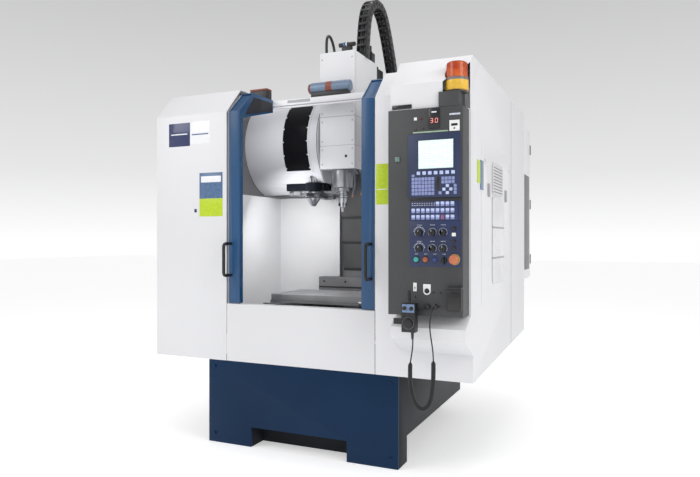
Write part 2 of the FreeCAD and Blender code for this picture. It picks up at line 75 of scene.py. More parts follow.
sky_ramp.color_ramp.elements[1].position = 0.36
sky_ramp.color_ramp.elements[1].color = (0.57, 0.57, 0.575, 1)
sky_mid = sky_ramp.color_ramp.elements.new(0.10)
sky_mid.color = (0.80, 0.80, 0.805, 1)
room.node_tree.links.new(sky_in.outputs["Generated"], sky_split.inputs[0])
room.node_tree.links.new(sky_split.outputs["Z"], sky_ramp.inputs[0])
room.node_tree.links.new(sky_ramp.outputs[0], sky["Background"].inputs["Color"])
sky["Background"].inputs["Strength"].default_value = 1.0
for lamp_name, spot, aim, size, power in (
    ("softbox_left", (-3.2, -4.2, 4.2), (0, 0, 1.2), 3.0, 80),
    ("softbox_right", (4.6, -2.4, 3.4), (0.6, 0, 1.1), 2.6, 60),
    ("softbox_top", (0.4, 0.2, 5.2), (0, 0, 0), 3.2, 50),
    ("work_light_under_magazine", (-0.30, -0.48, 1.36), (-0.10, 0.06, 1.00), 0.30, 2.6),
    ("work_light_under_roof", (-0.40, -0.62, 1.80), (-0.45, 0.06, 1.50), 0.40, 0.7),
):
    bpy.ops.object.light_add(type="AREA", location=spot)
    light = bpy.context.object
    light.name = lamp_name
    light.data.size = size
    light.data.energy = power
    light.rotation_euler = (Vector(aim) - Vector(spot)).to_track_quat("-Z", "Y").to_euler()
    if lamp_name.startswith("work_light"):
        light.visible_camera = False
        light.visible_glossy = False
eye_height = 1.150
camera_turn = math.radians(24)
bpy.ops.object.camera_add(location=(1.631, -3.770, eye_height),
                          rotation=(math.radians(90), 0, camera_turn))
camera = bpy.context.object
camera.data.sensor_width = 36
camera.data.lens = 32.6
bpy.context.scene.camera = camera
bpy.context.scene.view_settings.view_transform = "Standard"

# ---- Hand-wheel cord ----
# A curly cord of black rubber cable 6.5 mm thick, wound on a mandrel when hot so that it springs back.
# Straight tails leave the hand-wheel unit and the gland on the control box.


def rubbed(name, base, rough, patch, spread, grain, bump, metallic=0.0, coat=0.0):
    """A finish with slow patches of tone, a fine grain in its gloss and a fine bump."""
    finish = bpy.data.materials.new(name)
    finish.use_nodes = True
    tree = finish.node_tree
    shader = tree.nodes["Principled BSDF"]
    shader.inputs["Metallic"].default_value = metallic
    shader.inputs["Coat Weight"].default_value = coat
    coords = tree.nodes.new("ShaderNodeTexCoord")
    broad = tree.nodes.new("ShaderNodeTexNoise")
    broad.inputs["Scale"].default_value = patch
    broad.inputs["Detail"].default_value = 5
    tone = tree.nodes.new("ShaderNodeValToRGB")
    tone.color_ramp.elements[0].position = 0.3
    tone.color_ramp.elements[1].position = 0.7
    tone.color_ramp.elements[0].color = tuple(max(0, c * (1 - spread)) for c in base) + (1,)
    tone.color_ramp.elements[1].color = tuple(min(1, c * (1 + spread)) for c in base) + (1,)
    fine = tree.nodes.new("ShaderNodeTexNoise")
    fine.inputs["Scale"].default_value = grain
    fine.inputs["Detail"].default_value = 3
    gloss = tree.nodes.new("ShaderNodeMapRange")
    gloss.inputs["To Min"].default_value = max(0.02, rough - 0.08)
    gloss.inputs["To Max"].default_value = min(1, rough + 0.1)
    relief = tree.nodes.new("ShaderNodeBump")
    relief.inputs["Strength"].default_value = bump
    relief.inputs["Distance"].default_value = 0.001
    tree.links.new(coords.outputs["Object"], broad.inputs["Vector"])
    tree.links.new(coords.outputs["Object"], fine.inputs["Vector"])
    tree.links.new(broad.outputs["Fac"], tone.inputs["Fac"])
    tree.links.new(tone.outputs["Color"], shader.inputs["Base Color"])
    tree.links.new(fine.outputs["Fac"], gloss.inputs["Value"])
    tree.links.new(gloss.outputs["Result"], shader.inputs["Roughness"])
    tree.links.new(fine.outputs["Fac"], relief.inputs["Height"])
    tree.links.new(relief.outputs["Normal"], shader.inputs["Normal"])
    return finish


cord_rubber = rubbed("cord_rubber", (0.012, 0.012, 0.013), 0.42, 30, 0.25, 900, 0.15)
cord_route = [
    (0.716, -1.015, 0.7232), (0.720, -1.018, 0.670), (0.714, -1.020, 0.620), (0.706, -1.020, 0.585),
    (0.707, -1.022, 0.480), (0.728, -1.023, 0.400), (0.768, -1.024, 0.372), (0.803, -1.023, 0.405),
    (0.815, -1.021, 0.480), (0.817, -1.020, 0.603), (0.812, -1.022, 0.665), (0.799, -1.021, 0.736),
    (0.799, -1.019, 0.790), (0.807, -1.012, 0.828), (0.808, -0.9866, 0.838),
]
cord_turns = 80
coil_radius = 0.0077
coil_top_left = 0.585
coil_top_right = 0.603


def smooth_line(name, points):
    """A NURBS curve with these control points, in the row frame."""
    line = bpy.data.curves.new(name, "CURVE")
    line.dimensions = "3D"
    spline = line.splines.new("NURBS")
    spline.points.add(len(points) - 1)
    for spot, p in zip(spline.points, points):
        spot.co = (p[0], p[1], p[2], 1)
    spline.order_u = 3
    spline.use_endpoint_u = True
    line.resolution_u = 12
    piece = bpy.data.objects.new(name, line)
    bpy.context.collection.objects.link(piece)
    return piece


route = smooth_line("cord_route", cord_route)
bpy.context.view_layer.update()
route_mesh = bpy.data.meshes.new_from_object(route)
way = [v.co.copy() for v in route_mesh.vertices]
bpy.data.objects.remove(route)
reach = [0.0]
for a, b in zip(way, way[1:]):
    reach.append(reach[-1] + (b - a).length)
low_point = min(range(len(way)), key=lambda i: way[i].z)
start_s = min((abs(way[i].z - coil_top_left), reach[i]) for i in range(low_point))[1]
end_s = min((abs(way[i].z - coil_top_right), reach[i]) for i in range(low_point, len(way)))[1]


def along(s):
    """The point and direction at a distance along the route."""
    i = max(j for j in range(len(reach) - 1) if reach[j] <= s or j == 0)
    t = (s - reach[i]) / max(reach[i + 1] - reach[i], 1e-9)
    return way[i].lerp(way[i + 1], min(t, 1)), (way[i + 1] - way[i]).normalized()


cord_points = []
s = 0.0
while s < start_s - 0.012:
    cord_points.append(along(s)[0])
    s += 0.018
steps = cord_turns * 12
for k in range(steps + 1):
    part = k / steps
    middle, ahead = along(start_s + (end_s - start_s) * part)
    side = ahead.cross(Vector((0, 1, 0))).normalized()
    fore = ahead.cross(side).normalized()
    swell = min(1, part * 40, (1 - part) * 40)
    turn = 2 * math.pi * k / 12
    cord_points.append(middle + (side * math.cos(turn) + fore * math.sin(turn)) * coil_radius * swell)
s = end_s + 0.012
while s < reach[-1] - 0.012:
    cord_points.append(along(s)[0])
    s += 0.018
cord_points.append(way[-1])
hand_cord = smooth_line("hand_wheel_cord", cord_points)
hand_cord.data.resolution_u = 2
hand_cord.data.bevel_depth = 0.00325
hand_cord.data.bevel_resolution = 2
hand_cord.data.use_fill_caps = True
hand_cord.data.materials.append(cord_rubber)
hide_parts("pendant_cord")
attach(hand_cord, "machine")

# ---- Base casting and its front plate ----
# A ribbed iron casting on a plinth with two front feet and two rear feet, near black as painted shade for
# its sides, and a steel plate in deep blue stove enamel bolted to its front, cut out for a pallet truck or
# jack.


def softened(node, name, width, finish, body="machine"):
    """The node's own shape as one welded piece with its sharp edges rounded off."""
    bpy.ops.object.select_all(action="DESELECT")
    piece = bpy.data.objects.new(name, nodes[node].data.copy())
    bpy.context.collection.objects.link(piece)
    piece.matrix_world = nodes[node].matrix_world.copy()
    bpy.context.view_layer.objects.active = piece
    piece.select_set(True)
    piece.data.materials.clear()
    piece.data.materials.append(finish)
    bpy.ops.object.transform_apply(location=True, rotation=True, scale=True)
    bpy.ops.object.mode_set(mode="EDIT")
    bpy.ops.mesh.select_all(action="SELECT")
    bpy.ops.mesh.remove_doubles(threshold=0.00005)
    bpy.ops.mesh.dissolve_limited(angle_limit=math.radians(1))
    bpy.ops.object.mode_set(mode="OBJECT")
    if width > 0:
        edge = piece.modifiers.new("rounded_edges", "BEVEL")
        edge.width = width
        edge.segments = 2
        edge.limit_method = "ANGLE"
        edge.angle_limit = math.radians(40)
        bpy.ops.object.modifier_apply(modifier="rounded_edges")
    bpy.ops.object.shade_smooth_by_angle(angle=math.radians(35))
    piece.select_set(False)
    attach(piece, body)
    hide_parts(node)
    return piece


def fixed(piece, finish, body="machine"):
    """Gives a finished piece its material and body, with its place in its mesh."""
    bpy.ops.object.select_all(action="DESELECT")
    bpy.context.view_layer.objects.active = piece
    piece.select_set(True)
    bpy.ops.object.transform_apply(location=True, rotation=True, scale=True)
    piece.data.materials.clear()
    piece.data.materials.append(finish)
    bpy.ops.object.shade_smooth_by_angle(angle=math.radians(35))
    piece.select_set(False)
    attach(piece, body)
    return piece


def folded_block(name, low, high, edge, finish, body="machine", segments=2):
    """A box between two corners with its edges rounded."""
    bpy.ops.object.select_all(action="DESELECT")
    middle = [(a + b) / 2 for a, b in zip(low, high)]
    bpy.ops.mesh.primitive_cube_add(size=1, location=middle)
    piece = bpy.context.object
    piece.name = name
    piece.scale = [b - a for a, b in zip(low, high)]
    bpy.ops.object.transform_apply(location=True, rotation=True, scale=True)
    bpy.ops.object.mode_set(mode="EDIT")
    bpy.ops.mesh.select_all(action="SELECT")
    bpy.ops.mesh.bevel(offset=edge, segments=segments)
    bpy.ops.object.mode_set(mode="OBJECT")
    return fixed(piece, finish, body)


def merged(name, pieces):
    """Several like pieces made one."""
    bpy.ops.object.select_all(action="DESELECT")
    for piece in pieces:
        piece.select_set(True)
    bpy.context.view_layer.objects.active = pieces[0]
    bpy.ops.object.join()
    whole = bpy.context.object
    whole.name = name
    whole.select_set(False)
    return whole


# The base casting's near black is painted shade for its sides in shadow; the magazine frame shares this
# black.
black_iron_and_base_shade = rubbed("black_iron_and_base_shade", (0.008, 0.010, 0.015), 0.5, 3, 0.35, 180, 0.5)
black_iron_and_base_shade.node_tree.nodes["Principled BSDF"].inputs["Specular IOR Level"].default_value = 0.15
softened("base_casting", "iron_base", 0.004, black_iron_and_base_shade)
apron_blue = rubbed("apron_blue", (0.001, 0.020, 0.062), 0.42, 2.5, 0.12, 420, 0.12)
apron_blue.node_tree.nodes["Principled BSDF"].inputs["Specular IOR Level"].default_value = 0.18
softened("base_apron", "front_apron", 0.003, apron_blue)
foot_low, foot_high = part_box("base_apron")
bolt_heads = []
for x in (foot_low[0] + 0.04, foot_high[0] - 0.04):
    for z in (0.05, 0.43):
        bpy.ops.object.select_all(action="DESELECT")
        bpy.ops.mesh.primitive_cylinder_add(vertices=20, radius=0.009, depth=0.006,
                                            location=(x, foot_low[1] - 0.002, z),
                                            rotation=(math.radians(90), 0, 0))
        bolt = bpy.context.object
        bpy.ops.object.mode_set(mode="EDIT")
        bpy.ops.mesh.select_all(action="SELECT")
        bpy.ops.mesh.bevel(offset=0.0015, segments=2)
        bpy.ops.object.mode_set(mode="OBJECT")
        bolt.name = "apron_bolt"
        bolt_heads.append(fixed(bolt, apron_blue))
merged("apron_bolts", bolt_heads)

# ---- Covers ----
# Folded steel sheet, powder coated in a cool white with a fine orange-peel texture: left and right
# shells, the lower front panel below the doors, the door beam and the rear halves.
cover_white = rubbed("cover_white", (0.715, 0.715, 0.735), 0.40, 1.1, 0.03, 520, 0.10)
softened("cover_left", "left_shell", 0.0014, cover_white)
softened("cover_right", "right_shell", 0.0014, cover_white)
softened("cover_sill", "sill_panel", 0.0014, cover_white)
softened("door_beam", "top_beam", 0.003, cover_white)
inner_white = rubbed("inner_white", (0.80, 0.80, 0.815), 0.42, 2.2, 0.05, 300, 0.15)
softened("inner_panels", "work_space_panels", 0.001, inner_white)

# ---- Side panels: seams, sight slot, grille and latches ----
# Each side has a lift-off panel held by two turn latches. A rounded sight slot of
# smoked plastic runs down its middle, with a grille of slits above it.
shell_low, shell_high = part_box("cover_right")
side_x = shell_high[0] - 0.015
seam_grey = rubbed("seam_grey", (0.36, 0.36, 0.38), 0.6, 12, 0.1, 300, 0.1)
smoked = rubbed("smoked_plastic", (0.56, 0.56, 0.59), 0.18, 5, 0.10, 200, 0.04, coat=0.5)
# Dark grey for slits, grooves and louvre gaps: painted shade in the openings.
painted_slit_shade = rubbed("painted_slit_shade", (0.24, 0.24, 0.25), 0.6, 8, 0.2, 200, 0.1)
shade_white = rubbed("shade_white", (0.60, 0.60, 0.62), 0.5, 8, 0.05, 300, 0.1)
knob_black = rubbed("knob_black", (0.02, 0.02, 0.022), 0.4, 40, 0.2, 500, 0.1)


def side_plate(name, y0, y1, z0, z1, proud, thick, finish, corner=0.0):
    """A thin plate on the right side, with rounded corners, and its twin on the left side."""
    pair = []
    for side in (1, -1):
        bpy.ops.object.select_all(action="DESELECT")
        bpy.ops.mesh.primitive_plane_add(size=1, location=(0, 0, 0))
        plate = bpy.context.object
        plate.name = name + ("_right" if side > 0 else "_left")
        bpy.ops.object.mode_set(mode="EDIT")
        bpy.ops.mesh.select_all(action="SELECT")
        bpy.ops.transform.resize(value=(y1 - y0, z1 - z0, 1))
        if corner > 0:
            bpy.ops.mesh.bevel(offset=corner, segments=6, affect="VERTICES")
        bpy.ops.mesh.extrude_region_move(TRANSFORM_OT_translate={"value": (0, 0, thick)})
        bpy.ops.mesh.select_all(action="SELECT")
        bpy.ops.mesh.normals_make_consistent(inside=False)
        bpy.ops.object.mode_set(mode="OBJECT")
        plate.matrix_world = Matrix.Translation(
            (side * (side_x + proud), (y0 + y1) / 2, (z0 + z1) / 2)
        ) @ Matrix.Rotation(side * math.radians(90), 4, "Z") @ Matrix.Rotation(math.radians(90), 4, "X")
        pair.append(fixed(plate, finish))
    return pair


side_plate("sight_slot", -0.370, -0.046, 0.906, 1.372, 0.0030, 0.003, smoked, 0.03)
side_plate("grille_plate", -0.370, -0.080, 1.385, 1.560, 0.0032, 0.003, shade_white, 0.04)
# The grille's slits are dark strips on the plate: painted shade in the openings.
for k in range(9):
    z = 1.400 + 0.0165 * k
    side_plate("grille_slit_%d" % k, -0.350, -0.100, z, z + 0.006, 0.0045, 0.002, painted_slit_shade)
for k, z in enumerate((1.040, 1.205)):
    side_plate("slot_bar_%d" % k, -0.370, -0.046, z, z + 0.010, 0.0045, 0.002, seam_grey)
side_plate("sheet_seam", 0.2215, 0.2245, 0.5, 2.00, 0.0004, 0.0006, seam_grey)
side_plate("panel_latch_front", -0.487, -0.463, 1.365, 1.435, 0.002, 0.010, seam_grey, 0.008)
side_plate("panel_latch_rear", -0.007, 0.017, 1.363, 1.431, 0.002, 0.010, seam_grey, 0.008)

# ---- Name plates and labels ----
# Thin self-adhesive foils left plain: a dark blue plate and a white plate at the upper left, a
# two-part label below them, and green and blue labels on the front strip and the right side.


def foil(name, low_x, high_x, low_z, high_z, finish, proud=0.0):
    """A thin foil on the front sheet."""
    y = shell_low[1] - 0.0006 - proud
    return folded_block(name, (low_x, y, low_z), (high_x, y + 0.0007, high_z), 0.0002, finish)


foil_navy = rubbed("foil_navy", (0.012, 0.022, 0.10), 0.25, 20, 0.15, 300, 0.03, coat=0.4)
foil_white = rubbed("foil_white", (0.82, 0.82, 0.84), 0.25, 20, 0.03, 300, 0.03, coat=0.4)
foil_blue = rubbed("foil_blue_grey", (0.07, 0.14, 0.27), 0.3, 60, 0.25, 300, 0.03, coat=0.2)
foil_green = rubbed("foil_yellow_green", (0.47, 0.62, 0.012), 0.35, 60, 0.08, 300, 0.03)
foil("plate_navy", -0.855, -0.703, 1.685, 1.820, foil_navy)
foil("plate_navy_band", -0.838, -0.720, 1.752, 1.758, foil_white, 0.0006)
foil("plate_white", -0.7028, -0.563, 1.693, 1.821, foil_white)
foil("plate_white_band", -0.690, -0.575, 1.745, 1.752, foil_blue, 0.0006)
foil("label_blue", -0.636, -0.477, 1.378, 1.525, foil_blue)
foil("label_blue_band", -0.625, -0.488, 1.470, 1.505, foil_white, 0.0006)
foil("label_green", -0.636, -0.477, 1.276, 1.3775, foil_green)
foil("label_green_right", 0.452, 0.517, 1.321, 1.525, foil_green)
foil("label_green_right_band", 0.458, 0.511, 1.395, 1.399, foil_white, 0.0006)
foil("label_small_left", -0.672, -0.655, 1.30, 1.32, foil_navy)
for name, y0, y1, z0, z1, finish in (
    ("side_label_green", -0.718, -0.655, 1.421, 1.532, foil_green),
    ("side_label_blue", -0.652, -0.583, 1.392, 1.538, foil_blue),
):
    folded_block(name, (side_x, y0, z0), (side_x + 0.0028, y1, z1), 0.0002, finish)

# ---- Sliding doors ----
# Two folded steel doors: a deep blue boxed leading edge that runs up the front, back over the slope
# and along the top, with white sheet, a clear window and a bent black bar handle on each.
door_blue = rubbed("door_blue", (0.004, 0.060, 0.165), 0.33, 1.6, 0.16, 460, 0.10, coat=0.1)
glass_clear = bpy.data.materials.new("window_clear")
glass_clear.use_nodes = True
pane_tree = glass_clear.node_tree
pane = pane_tree.nodes["Principled BSDF"]
pane.inputs["Transmission Weight"].default_value = 0.9
pane.inputs["Roughness"].default_value = 0.05
pane_noise = pane_tree.nodes.new("ShaderNodeTexNoise")
pane_noise.inputs["Scale"].default_value = 3
pane_tone = pane_tree.nodes.new("ShaderNodeValToRGB")
pane_tone.color_ramp.elements[0].color = (0.75, 0.84, 0.86, 1)
pane_tone.color_ramp.elements[1].color = (0.82, 0.88, 0.89, 1)
pane_at = pane_tree.nodes.new("ShaderNodeTexCoord")
pane_tree.links.new(pane_at.outputs["Object"], pane_noise.inputs["Vector"])
pane_tree.links.new(pane_noise.outputs["Fac"], pane_tone.inputs["Fac"])
pane_tree.links.new(pane_tone.outputs["Color"], pane.inputs["Base Color"])
grip_black = rubbed("grip_black", (0.012, 0.012, 0.013), 0.35, 30, 0.2, 600, 0.08)
inset_black = rubbed("inset_black", (0.010, 0.011, 0.016), 0.55, 20, 0.2, 300, 0.1)
gasket = rubbed("window_gasket", (0.015, 0.015, 0.016), 0.6, 30, 0.2, 500, 0.2)


def hose(name, points, radius, finish, body):
    """A round hose through these points, as a mesh."""
    bpy.ops.object.select_all(action="DESELECT")
    line = smooth_line(name, points)
    line.data.bevel_depth = radius
    line.data.bevel_resolution = 4
    line.data.resolution_u = 10
    line.data.use_fill_caps = True
    bpy.context.view_layer.objects.active = line
    line.select_set(True)
    bpy.ops.object.convert(target="MESH")
    return fixed(bpy.context.object, finish, body)


def flange_inset(name, hand, body):
    """The dark plate let into the top web of a door, on the side that faces the opening."""
    bpy.ops.object.select_all(action="DESELECT")
    outline = [(-0.738, 1.851), (-0.647, 1.966), (-0.442, 1.974), (-0.442, 1.921)]
    plate_mesh = bpy.data.meshes.new(name)
    plate_mesh.from_pydata([(hand * 0.3688, y, z) for y, z in outline], [], [(0, 1, 2, 3)])
    plate = bpy.data.objects.new(name, plate_mesh)
    bpy.context.collection.objects.link(plate)
    bpy.context.view_layer.objects.active = plate
    plate.select_set(True)
    skin = plate.modifiers.new("thickness", "SOLIDIFY")
    skin.thickness = 0.0006
    skin.offset = 0
    bpy.ops.object.modifier_apply(modifier="thickness")
    return fixed(plate, inset_black, body)


for hand, node, body in ((1, "door_right", "door_right"), (-1, "door_left", "door_left")):
    shell = softened(node, node + "_shell", 0.0022, door_blue, body)
    shell.data.materials.append(cover_white)
    for face in shell.data.polygons:
        if abs(face.center.x) > 0.4395:
            face.material_index = 1
    sheet = bmesh.new()
    sheet.from_mesh(shell.data)
    bar_faces = [f for f in sheet.faces if f.calc_center_median().y < -0.7925]
    bmesh.ops.delete(sheet, geom=bar_faces, context="FACES")
    sheet.to_mesh(shell.data)
    sheet.free()
    bar_x = 0.420 if hand > 0 else -0.426
    hose(node + "_bar", [(bar_x, -0.790, 0.945), (bar_x, -0.822, 0.945), (bar_x, -0.862, 0.945),
                         (bar_x, -0.862, 0.985),
                         (bar_x, -0.862, 1.081), (bar_x, -0.862, 1.121), (bar_x, -0.822, 1.121),
                         (bar_x, -0.790, 1.121)],
         0.0088, grip_black, body)
    pane_node = "glass_right" if hand > 0 else "glass_left"
    nodes[pane_node].material_slots[0].material = glass_clear
    flange_inset(node + "_flange_inset", hand, body)
    low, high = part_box(pane_node)
    rim = []
    for a, b in (
        ((low[0], low[2]), (high[0], low[2] + 0.022)),
        ((low[0], high[2] - 0.022), (high[0], high[2])),
        ((low[0], low[2] + 0.022), (low[0] + 0.022, high[2] - 0.022)),
        ((high[0] - 0.022, low[2] + 0.022), (high[0], high[2] - 0.022)),
    ):
        rim.append(folded_block("rim", (a[0], low[1] - 0.0052, a[1]), (b[0], low[1] - 0.0002, b[1]), 0.0015,
                                gasket, body))
    merged(node + "_gasket", rim)

# ---- Console housing and control box ----
# A white folded housing carries a charcoal control box of textured powder-coated sheet. The box's front
# is one plate, punched for the screen unit, the operator's keys, the dials and the sockets.
softened("console_housing", "console_shell", 0.003, cover_white)
panel_grey = rubbed("panel_charcoal", (0.047, 0.048, 0.050), 0.5, 6, 0.07, 900, 0.25)
softened("control_box", "control_case", 0.0025, panel_grey)
unit_low, unit_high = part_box("screen_unit")
panel_y = unit_high[1]
black_gloss = rubbed("black_gloss", (0.008, 0.008, 0.009), 0.25, 60, 0.3, 700, 0.05, coat=0.2)
navy_film = rubbed("operator_film_navy", (0.016, 0.027, 0.085), 0.38, 9, 0.25, 700, 0.08)
key_light = rubbed("key_light", (0.50, 0.58, 0.85), 0.4, 70, 0.12, 900, 0.06)
key_periwinkle = rubbed("key_periwinkle", (0.24, 0.28, 0.52), 0.42, 70, 0.15, 900, 0.06)
print_white = rubbed("print_white", (0.72, 0.76, 0.86), 0.5, 80, 0.08, 900, 0.04)
plate_white = rubbed("plate_white_plastic", (0.80, 0.80, 0.80), 0.35, 60, 0.04, 900, 0.04)


def on_panel(name, x0, x1, z0, z1, proud, finish, edge=0.0006, back=0.0, body="machine"):
    """A rounded block standing on the front of the control box."""
    return folded_block(name, (x0, panel_y - proud, z0), (x1, panel_y - back, z1), edge, finish, body)


def lathed(name, profile, axis, place, turns):
    """A profile spun once round an axis and set in its place."""
    bpy.ops.object.select_all(action="DESELECT")
    line = bpy.data.meshes.new(name)
    line.from_pydata(profile, [(i, i + 1) for i in range(len(profile) - 1)], [])
    piece = bpy.data.objects.new(name, line)
    bpy.context.collection.objects.link(piece)
    bpy.context.view_layer.objects.active = piece
    piece.select_set(True)
    bpy.ops.object.mode_set(mode="EDIT")
    bpy.ops.mesh.select_all(action="SELECT")
    bpy.ops.mesh.spin(steps=turns, angle=math.radians(360), center=(0, 0, 0), axis=axis)
    bpy.ops.mesh.select_all(action="SELECT")
    bpy.ops.mesh.remove_doubles(threshold=0.00002)
    bpy.ops.mesh.normals_make_consistent(inside=False)
    bpy.ops.object.mode_set(mode="OBJECT")
    piece.location = place
    return piece


def turned(name, x, z, rings, finish, body="machine", turns=32):
    """A part turned with its axis square to the panel; rings are (radius, how far proud)."""
    piece = lathed(name, [(r, -d, 0) for r, d in rings], (0, 1, 0), (x, panel_y, z), turns)
    return fixed(piece, finish, body)


# ---- Screen unit ----
# A moulded navy frame with a recessed liquid-crystal screen, a row of seven soft keys under it, the
# block of data keys with its cursor cross, and a pale strip along the top.
unit_navy = rubbed("unit_navy", (0.018, 0.030, 0.082), 0.45, 8, 0.12, 900, 0.12)
softened("screen_unit", "screen_frame", 0.002, unit_navy)
face_y = unit_low[1]
screen_glass = bpy.data.materials.new("lit_screen")
screen_glass.use_nodes = True
lit = screen_glass.node_tree
lit_shader = lit.nodes["Principled BSDF"]
lit_at = lit.nodes.new("ShaderNodeTexCoord")
lit_turn = lit.nodes.new("ShaderNodeMapping")
lit_turn.inputs["Rotation"].default_value = (math.radians(-90), 0, 0)
lit_rows = lit.nodes.new("ShaderNodeTexBrick")
lit_rows.inputs["Scale"].default_value = 30
lit_rows.inputs["Mortar Size"].default_value = 0.035
lit_rows.inputs["Brick Width"].default_value = 1.3
lit_rows.inputs["Row Height"].default_value = 0.33
lit_rows.inputs["Color1"].default_value = (0.74, 0.90, 0.86, 1)
lit_rows.inputs["Color2"].default_value = (0.84, 0.95, 0.93, 1)
lit_rows.inputs["Mortar"].default_value = (0.60, 0.78, 0.77, 1)
lit.links.new(lit_at.outputs["Object"], lit_turn.inputs["Vector"])
lit.links.new(lit_turn.outputs["Vector"], lit_rows.inputs["Vector"])
lit.links.new(lit_rows.outputs["Color"], lit_shader.inputs["Base Color"])
lit.links.new(lit_rows.outputs["Color"], lit_shader.inputs["Emission Color"])
lit_shader.inputs["Emission Strength"].default_value = 0.2
lit_shader.inputs["Roughness"].default_value = 0.2
folded_block("screen", (0.728, face_y - 0.0006, 1.471), (0.893, face_y + 0.001, 1.601), 0.0004,
             screen_glass)
bars = []
for x0, x1, z0, z1 in ((0.724, 0.897, 1.601, 1.606), (0.724, 0.897, 1.466, 1.471),
                       (0.722, 0.728, 1.466, 1.606), (0.893, 0.899, 1.466, 1.606)):
    bars.append(folded_block("bar", (x0, face_y - 0.0025, z0), (x1, face_y + 0.001, z1), 0.0012,
                             unit_navy))
merged("screen_surround", bars)


def keys(name, places, width, height, proud, finish, front=None):
    """One key modelled once, then copied to each place and joined."""
    front = face_y if front is None else front
    first = folded_block(name, (-width / 2, -proud, -height / 2), (width / 2, 0.0004, height / 2),
                         min(width, height) * 0.12, finish)
    row = []
    for x, z in places:
        one = first.copy()
        one.data = first.data.copy()
        bpy.context.collection.objects.link(one)
        one.data.transform(Matrix.Translation((x, front, z)))
        row.append(one)
    bpy.data.objects.remove(first)
    return merged(name, row)


keys("soft_keys", [(0.729 + 0.0272 * k, 1.451) for k in range(7)], 0.017, 0.016, 0.002, key_light)
keys("unit_corner_key", [(0.703, 1.440)], 0.014, 0.012, 0.002, key_periwinkle)
keys("letter_keys", [(0.703 + 0.0158 * c, 1.424 - 0.0168 * r) for c in range(7) for r in range(5)],
     0.0142, 0.0150, 0.002, key_periwinkle)
keys("page_keys", [(0.845 + 0.0158 * c, 1.424 - 0.0168 * r) for c in range(4) for r in range(2)],
     0.0142, 0.0150, 0.002, key_periwinkle)
keys("cursor_keys", [(0.866, 1.390), (0.866, 1.358), (0.850, 1.374), (0.882, 1.374)],
     0.0150, 0.0140, 0.003, key_light)
keys("edit_keys", [(0.902, 1.390), (0.902, 1.374), (0.902, 1.358), (0.832, 1.358)],
     0.0138, 0.0140, 0.002, key_periwinkle)
folded_block("key_gap_window", (0.812, face_y - 0.001, 1.372), (0.828, face_y + 0.001, 1.430), 0.0004,
             black_gloss)
on_panel("top_strip", 0.700, 0.868, 1.6370, 1.6435, 0.0012,
         rubbed("strip_pale_green", (0.33, 0.45, 0.34), 0.4, 60, 0.15, 700, 0.05), 0.0004)

# ---- Operator's panel ----
# A navy printed film under three rows of membrane keys, six knobs with printed scales, two lit
# push buttons, a key switch, a selector and four small rocker switches.
softened("key_panel", "operator_key_sheet", 0.0006, navy_film)
film_left, film_right = 0.684, 0.930
on_panel("operator_film", film_left, film_right, 1.020, 1.2318, 0.0008, navy_film, 0.0003)
on_panel("operator_film_band", film_left, film_right, 1.3225, 1.3375, 0.0012, black_gloss,
         0.0004)
on_panel("operator_film_left", film_left, 0.6895, 1.2322, 1.322, 0.0008, navy_film, 0.0003)
on_panel("operator_film_right", 0.9155, film_right, 1.2322, 1.322, 0.0008, navy_film, 0.0003)
key_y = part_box("key_panel")[0][1]
first_key, key_pitch, light_pitch = 0.703, 0.0232, 0.0116
row_keys = [(first_key + key_pitch * c, 1.308) for c in range(5, 9)]
row_keys += [(first_key + key_pitch * c, 1.278) for c in range(9)]
row_keys += [(first_key + key_pitch * c, 1.248) for c in range(9) if c != 6]
keys("operator_keys", row_keys, 0.0172, 0.0210, 0.0016, key_light, key_y)
keys("operator_key_shades", [(x, z - 0.0055) for x, z in row_keys], 0.0165, 0.0085, 0.0021,
     key_periwinkle, key_y)
keys("operator_key_red", [(first_key + key_pitch * 6, 1.248)], 0.0172, 0.0210, 0.0016,
     rubbed("key_plum", (0.25, 0.10, 0.24), 0.4, 70, 0.15, 900, 0.06), key_y)
keys("key_lights", [(0.699 + light_pitch * c, 1.312) for c in range(10)], 0.0035, 0.0035, 0.0012,
     print_white, key_y)
keys("key_light_labels", [(0.699 + light_pitch * c, 1.303) for c in range(10)], 0.0065, 0.0022, 0.0006,
     print_white, key_y)
dial_black = rubbed("dial_black", (0.010, 0.010, 0.011), 0.3, 60, 0.2, 900, 0.06)
marks = []
for k in range(6):
    node = "dial_%d" % (k + 1)
    low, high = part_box(node)
    softened(node, node + "_knob", 0.0012, dial_black, node)
    x, z = (low[0] + high[0]) / 2, (low[2] + high[2]) / 2
    tip = folded_block(node + "_pointer", (x - 0.0007, low[1] - 0.0004, z + 0.003),
                       (x + 0.0007, low[1] + 0.0004, z + 0.0125),
                       0.0002, print_white, node)
    around = 0.0225 if k % 3 == 0 else 0.0195
    for j in range(15):
        turn = math.radians(-120 + 240 * j / 14)
        marks.append((x + around * math.sin(turn), z + around * math.cos(turn)))
keys("dial_scales", marks, 0.0026, 0.0026, 0.0004, print_white, panel_y - 0.0008)
arcs = []
for x, z in ((0.731, 1.104), (0.731, 1.178)):
    for j in range(11):
        turn = math.radians(-80 + 160 * j / 10)
        arcs.append((x + 0.0265 * math.sin(turn), z + 0.0265 * math.cos(turn)))
keys("dial_numbers", arcs, 0.0034, 0.0028, 0.0004, print_white, panel_y - 0.0008)
captions = [(x + dx, z) for x in (0.731, 0.793, 0.844) for z in (1.212, 1.137)
            for dx in (-0.008, -0.002, 0.004, 0.010)]
captions += [(x + dx, 1.0785) for x in (0.717, 0.761, 0.805, 0.848) for dx in (-0.005, 0.001, 0.006)]
keys("panel_captions", captions, 0.0042, 0.0020, 0.0003, print_white, panel_y - 0.0008)
